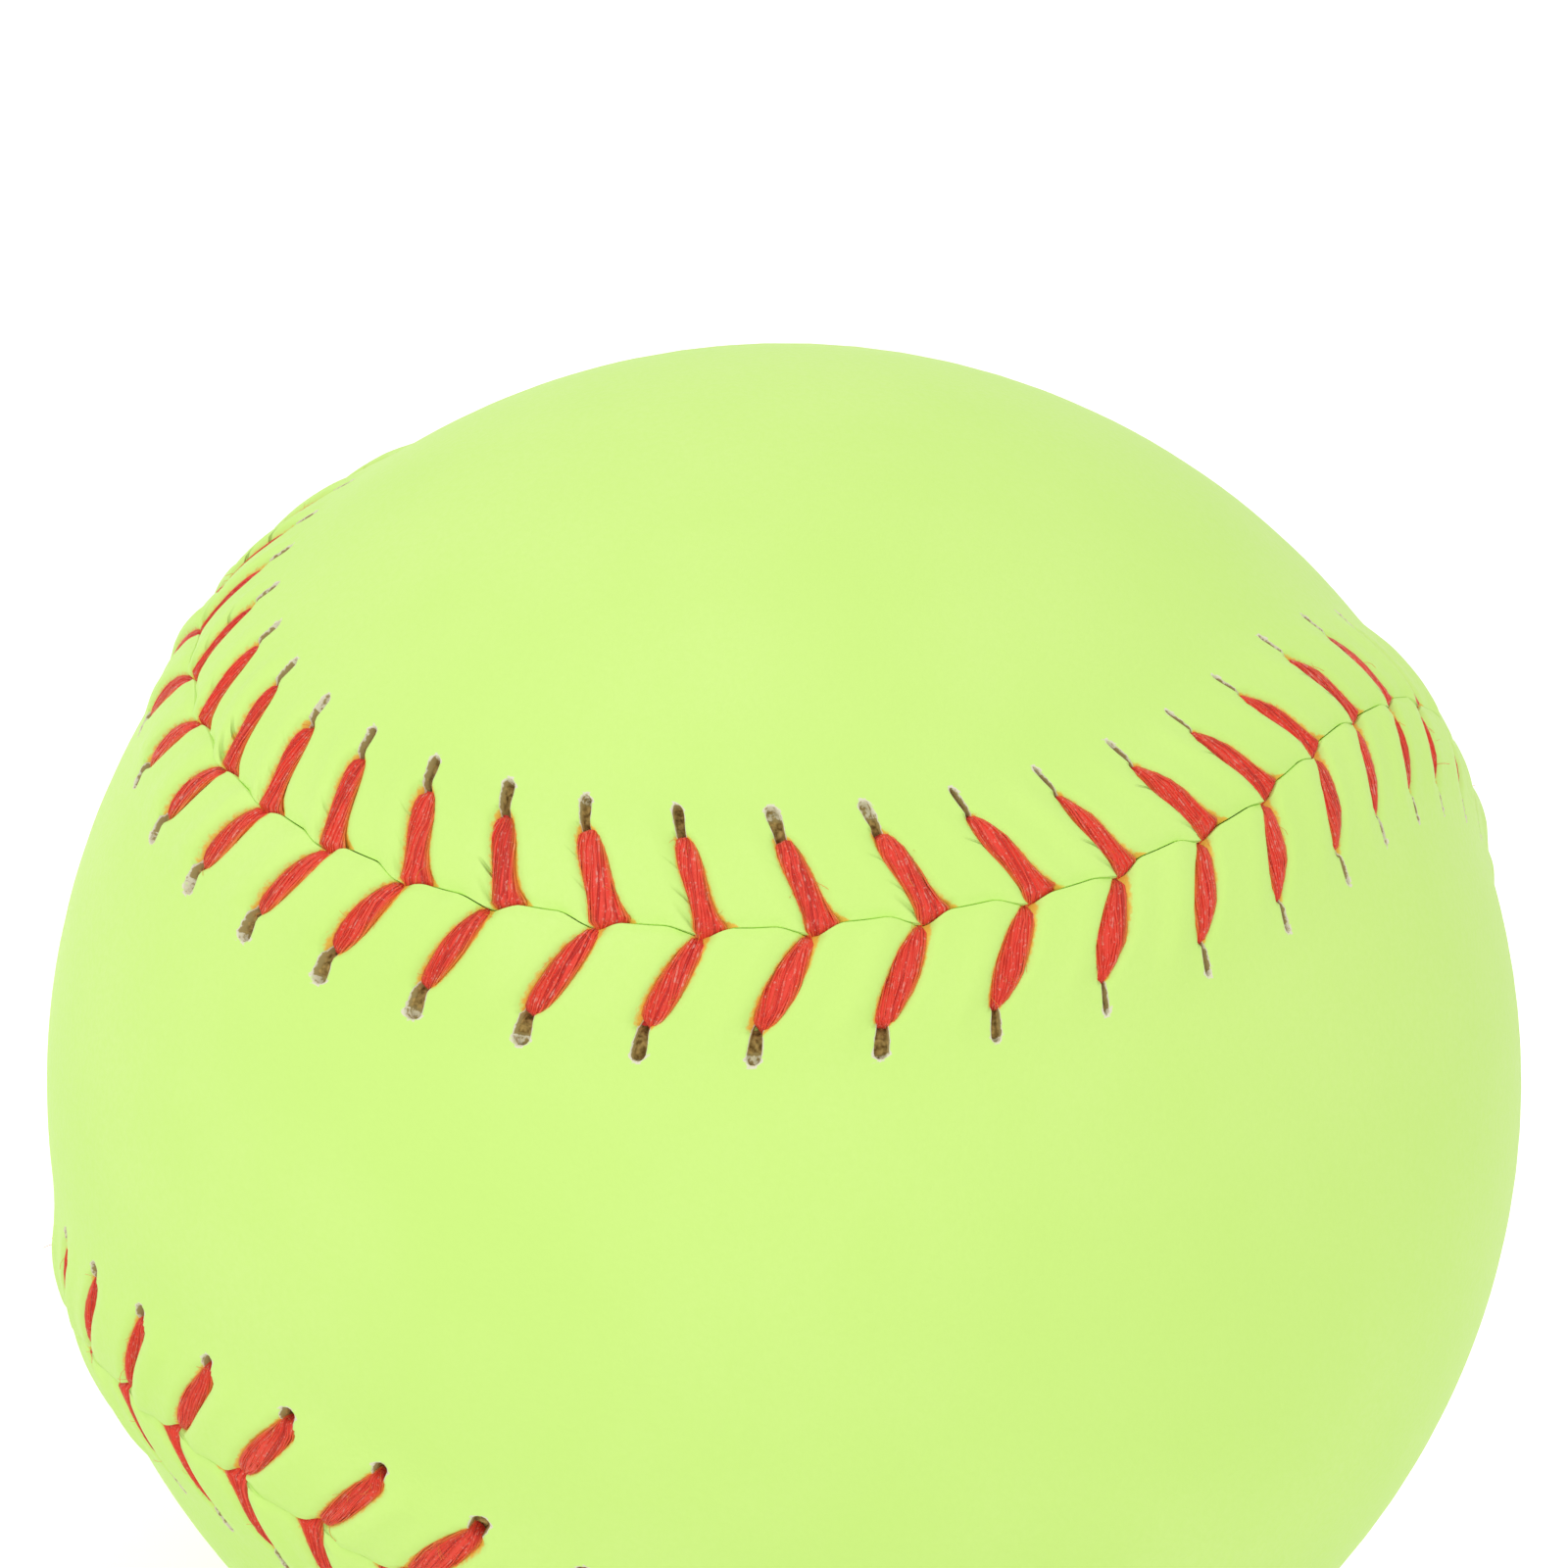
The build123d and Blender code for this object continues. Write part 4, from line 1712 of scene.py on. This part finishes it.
@dataclass
class YarnWinding:
    """The winding under the cover: loops of yarn laid every way over a closed shell."""

    name: str = "yarn_winding"
    outer_radius: float = 46.65
    inner_radius: float = 42.8
    yarn_radius: float = 0.45
    yarn_sides: int = 5
    loops: int = 150
    loop_steps: int = 72
    shell_steps: tuple[int, int] = (96, 48)
    bore_steps: tuple[int, int] = (64, 32)
    seed: int = 5

    def tree(self) -> bpy.types.NodeTree:
        """Build the Geometry Nodes tree.

        Returns:
            The tree, which needs no geometry to start from.
        """
        maker = TreeMaker(bpy.data.node_groups.new("wound_yarn", "GeometryNodeTree"))
        kinds = {
            "Geometry": (SocketKind.GEOMETRY, None),
            "Loops": (SocketKind.COUNT, 100),
            "Loop Steps": (SocketKind.COUNT, 72),
            "Loop Radius": (SocketKind.NUMBER, 0.046),
            "Inner Radius": (SocketKind.NUMBER, 0.043),
            "Yarn Radius": (SocketKind.NUMBER, 0.0005),
            "Seed": (SocketKind.COUNT, 1),
            "Material": (SocketKind.MATERIAL, None),
        }
        given = maker.sockets(kinds, ("Geometry", SocketKind.GEOMETRY))
        circle = {"Resolution": given["Loop Steps"], "Radius": given["Loop Radius"]}
        loop = maker.add("GeometryNodeCurvePrimitiveCircle", circle).outputs[0]
        yarn = maker.tubes(loop, self.yarn_sides, given["Yarn Radius"], caps=False)
        points = maker.add("GeometryNodePoints", {"Count": given["Loops"]}).outputs[0]
        every_way = {0: (0.0, 0.0, 0.0), 1: (TURN, TURN, TURN), "Seed": given["Seed"]}
        spin = maker.add("FunctionNodeRandomValue", every_way, data_type="FLOAT_VECTOR").outputs[0]
        laid = {"Points": points, "Instance": yarn, "Rotation": spin}
        placed = maker.add("GeometryNodeInstanceOnPoints", laid).outputs[0]
        tone = maker.add("FunctionNodeRandomValue", {"Seed": given["Seed"]}, data_type="FLOAT").outputs[1]
        toned = maker.keep(placed, "tone", tone, domain="INSTANCE")
        shell = self._ball(maker, self.shell_steps, given["Loop Radius"])
        bore = self._ball(maker, self.bore_steps, given["Inner Radius"])
        inside = maker.add("GeometryNodeFlipFaces", {"Mesh": bore}).outputs[0]
        maker.close((toned, shell, inside), given["Material"])
        return maker.tree

    def _ball(self, maker: TreeMaker, steps: tuple[int, int], radius: Socket) -> Socket:
        """A plain ball with a number of segments and rings."""
        inputs = {"Segments": steps[0], "Rings": steps[1], "Radius": radius}
        return maker.add("GeometryNodeMeshUVSphere", inputs).outputs[0]

    def build(self, material: bpy.types.Material) -> bpy.types.Object:
        """Build the winding as one plain mesh.

        Args:
            material: The yarn's finish.

        Returns:
            The piece.
        """
        values = {
            "Loops": self.loops,
            "Loop Steps": self.loop_steps,
            "Loop Radius": (self.outer_radius - self.yarn_radius) * MM,
            "Inner Radius": self.inner_radius * MM,
            "Yarn Radius": self.yarn_radius * MM,
            "Seed": self.seed,
            "Material": material,
        }
        start = link(f"{self.name}_start", bpy.data.meshes.new(f"{self.name}_start"))
        return bake_tree(start, self.tree(), values, self.name)


@dataclass
class Studio:
    """Pale floor, soft light and the camera of the photograph. Lamps are placed and sized in metres."""

    ball_radius: float = 48.5
    azimuth: float = 41.81
    elevation: float = 19.71
    roll: float = 13.03
    distance: float = 290.0
    tilt: float = 3.82
    lens: float = 99.58
    sensor_width: float = 36.0
    nearest: float = 10.0
    sky_level: float = 0.80
    key_place: Place = (-0.25, -0.75, 0.75)
    key_power: float = 1.8
    key_size: float = 0.7
    fill_place: Place = (0.72, -0.52, 0.06)
    fill_power: float = 1.1
    fill_size: float = 0.5
    fill_tint: Place = (0.94, 1.0, 0.80)
    floor_reach: float = 3000.0
    floor_gap: float = 0.2
    floor_light: Colour = (0.93, 0.93, 0.92, 1.0)
    floor_dark: Colour = (0.90, 0.90, 0.89, 1.0)
    floor_rough: float = 0.9
    floor_dust: float = 40.0
    floor_glow: float = 0.45

    def camera(self) -> None:
        """Place the camera, which aims a little above the ball."""
        azimuth, elevation = math.radians(self.azimuth), math.radians(self.elevation)
        back = Vector(
            (
                math.sin(azimuth) * math.cos(elevation),
                -math.cos(azimuth) * math.cos(elevation),
                math.sin(elevation),
            )
        )
        level = Vector((0.0, 0.0, 1.0)).cross(back).normalized()
        upright = back.cross(level)
        roll, tilt = math.radians(self.roll), math.radians(self.tilt)
        right = level * math.cos(roll) + upright * math.sin(roll)
        up = back.cross(right)
        aim = back * math.cos(tilt) - up * math.sin(tilt)
        crown = up * math.cos(tilt) + back * math.sin(tilt)
        data = bpy.data.cameras.new("camera")
        data.lens = self.lens
        data.sensor_width = self.sensor_width
        data.clip_start = self.nearest * MM
        camera = bpy.data.objects.new("camera", data)
        turn = Matrix((right, crown, aim)).transposed().to_4x4()
        camera.matrix_world = Matrix.Translation(back * self.distance * MM) @ turn
        bpy.context.scene.collection.objects.link(camera)
        bpy.context.scene.camera = camera

    def seen(self, maker: TreeMaker) -> Socket:
        """Tell the rays that show the background, straight or in a reflection.

        Args:
            maker: Maker of the tree that asks.

        Returns:
            1 for such rays and 0 for others.
        """
        rays = maker.add("ShaderNodeLightPath").outputs
        mirrored = maker.math("MAXIMUM", rays["Is Glossy Ray"], rays["Is Transmission Ray"])
        return maker.math("MAXIMUM", rays["Is Camera Ray"], mirrored)

    def world(self) -> None:
        """White surroundings that give a soft, even light."""
        world = bpy.data.worlds.new("studio")
        world.use_nodes = True
        world.node_tree.nodes.clear()
        maker = TreeMaker(world.node_tree)
        shown = maker.add("ShaderNodeBackground", {"Color": WHITE, "Strength": 1.0}).outputs[0]
        light = maker.add("ShaderNodeBackground", {"Color": WHITE, "Strength": self.sky_level}).outputs[0]
        mixed = maker.add("ShaderNodeMixShader", {0: self.seen(maker), 1: light, 2: shown}).outputs[0]
        maker.add("ShaderNodeOutputWorld", {"Surface": mixed})
        bpy.context.scene.world = world

    def floor(self) -> None:
        """A wide pale floor that the ball rests on."""
        mesh = bpy.data.meshes.new("floor")
        reach, level = self.floor_reach * MM, -(self.ball_radius + self.floor_gap) * MM
        ways = ((-1.0, -1.0), (1.0, -1.0), (1.0, 1.0), (-1.0, 1.0))
        mesh.from_pydata([(x * reach, y * reach, level) for x, y in ways], [], [(0, 1, 2, 3)])
        material = bpy.data.materials.new("pale_floor")
        material.use_nodes = True
        maker = TreeMaker(material.node_tree)
        shader = material.node_tree.nodes["Principled BSDF"]
        shader.inputs["Roughness"].default_value = self.floor_rough
        shader.inputs["Emission Color"].default_value = WHITE
        place = maker.add("ShaderNodeTexCoord").outputs["Object"]
        dust = maker.add("ShaderNodeTexNoise", {"Vector": place, "Scale": self.floor_dust}).outputs[0]
        maker.tree.links.new(maker.mix(dust, self.floor_dark, self.floor_light), shader.inputs["Base Color"])
        glow = maker.times(self.seen(maker), self.floor_glow)
        maker.tree.links.new(glow, shader.inputs["Emission Strength"])
        mesh.materials.append(material)
        link("floor", mesh)

    def lamp(self, name: str, place: Place, power: float, size: float, tint: Place = WHITE[:3]) -> None:
        """A square soft lamp that faces the ball.

        Args:
            name: Name of the lamp.
            place: Where it stands, in metres.
            power: Its power, in watts.
            size: Its width, in metres.
            tint: Colour of its light.
        """
        data = bpy.data.lights.new(name, "AREA")
        data.energy, data.size, data.color = power, size, tint
        lamp = bpy.data.objects.new(name, data)
        lamp.location = place
        lamp.rotation_euler = Vector(place).to_track_quat("Z", "Y").to_euler()
        bpy.context.scene.collection.objects.link(lamp)

    def build(self) -> None:
        """Set up the whole studio."""
        bpy.context.scene.view_settings.view_transform = "Standard"
        self.world()
        self.floor()
        self.lamp("key", self.key_place, self.key_power, self.key_size)
        self.lamp("fill", self.fill_place, self.fill_power, self.fill_size, self.fill_tint)
        self.camera()


def main() -> None:
    """Build the ball's pieces in order, then the studio."""
    logging.basicConfig(level=logging.INFO, format="%(name)s: %(message)s")
    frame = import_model()
    effects = ShaderEffects()
    seam = Seam()
    relief = SewnRelief(seam)

    leather = LeatherFinish(effects, stitch_pitch=seam.pitch).material()
    for panel, node in ((Panel.FRONT, "front_panel"), (Panel.REAR, "rear_panel")):
        declare(CoverPanel(seam, relief, panel).build(leather), node)

    legs, thread = TwistedLegs().tree(), ThreadFinish(effects).material()
    for name, panel, seed in (("first_thread", Panel.FRONT, 11), ("second_thread", Panel.REAR, 23)):
        piece = SewingThread(seam, relief, f"{name}_sewn", panel, seed).build(legs, thread)
        declare(piece, name)

    declare(YarnWinding().build(YarnFinish(effects).material()), "winding")

    core = frame["nodes"]["core"]
    core.data.materials.clear()
    core.data.materials.append(CorkFinish(effects).material())
    LOG.info("core: carried over from the solids")

    Studio().build()


if __name__ == "__main__":
    main()
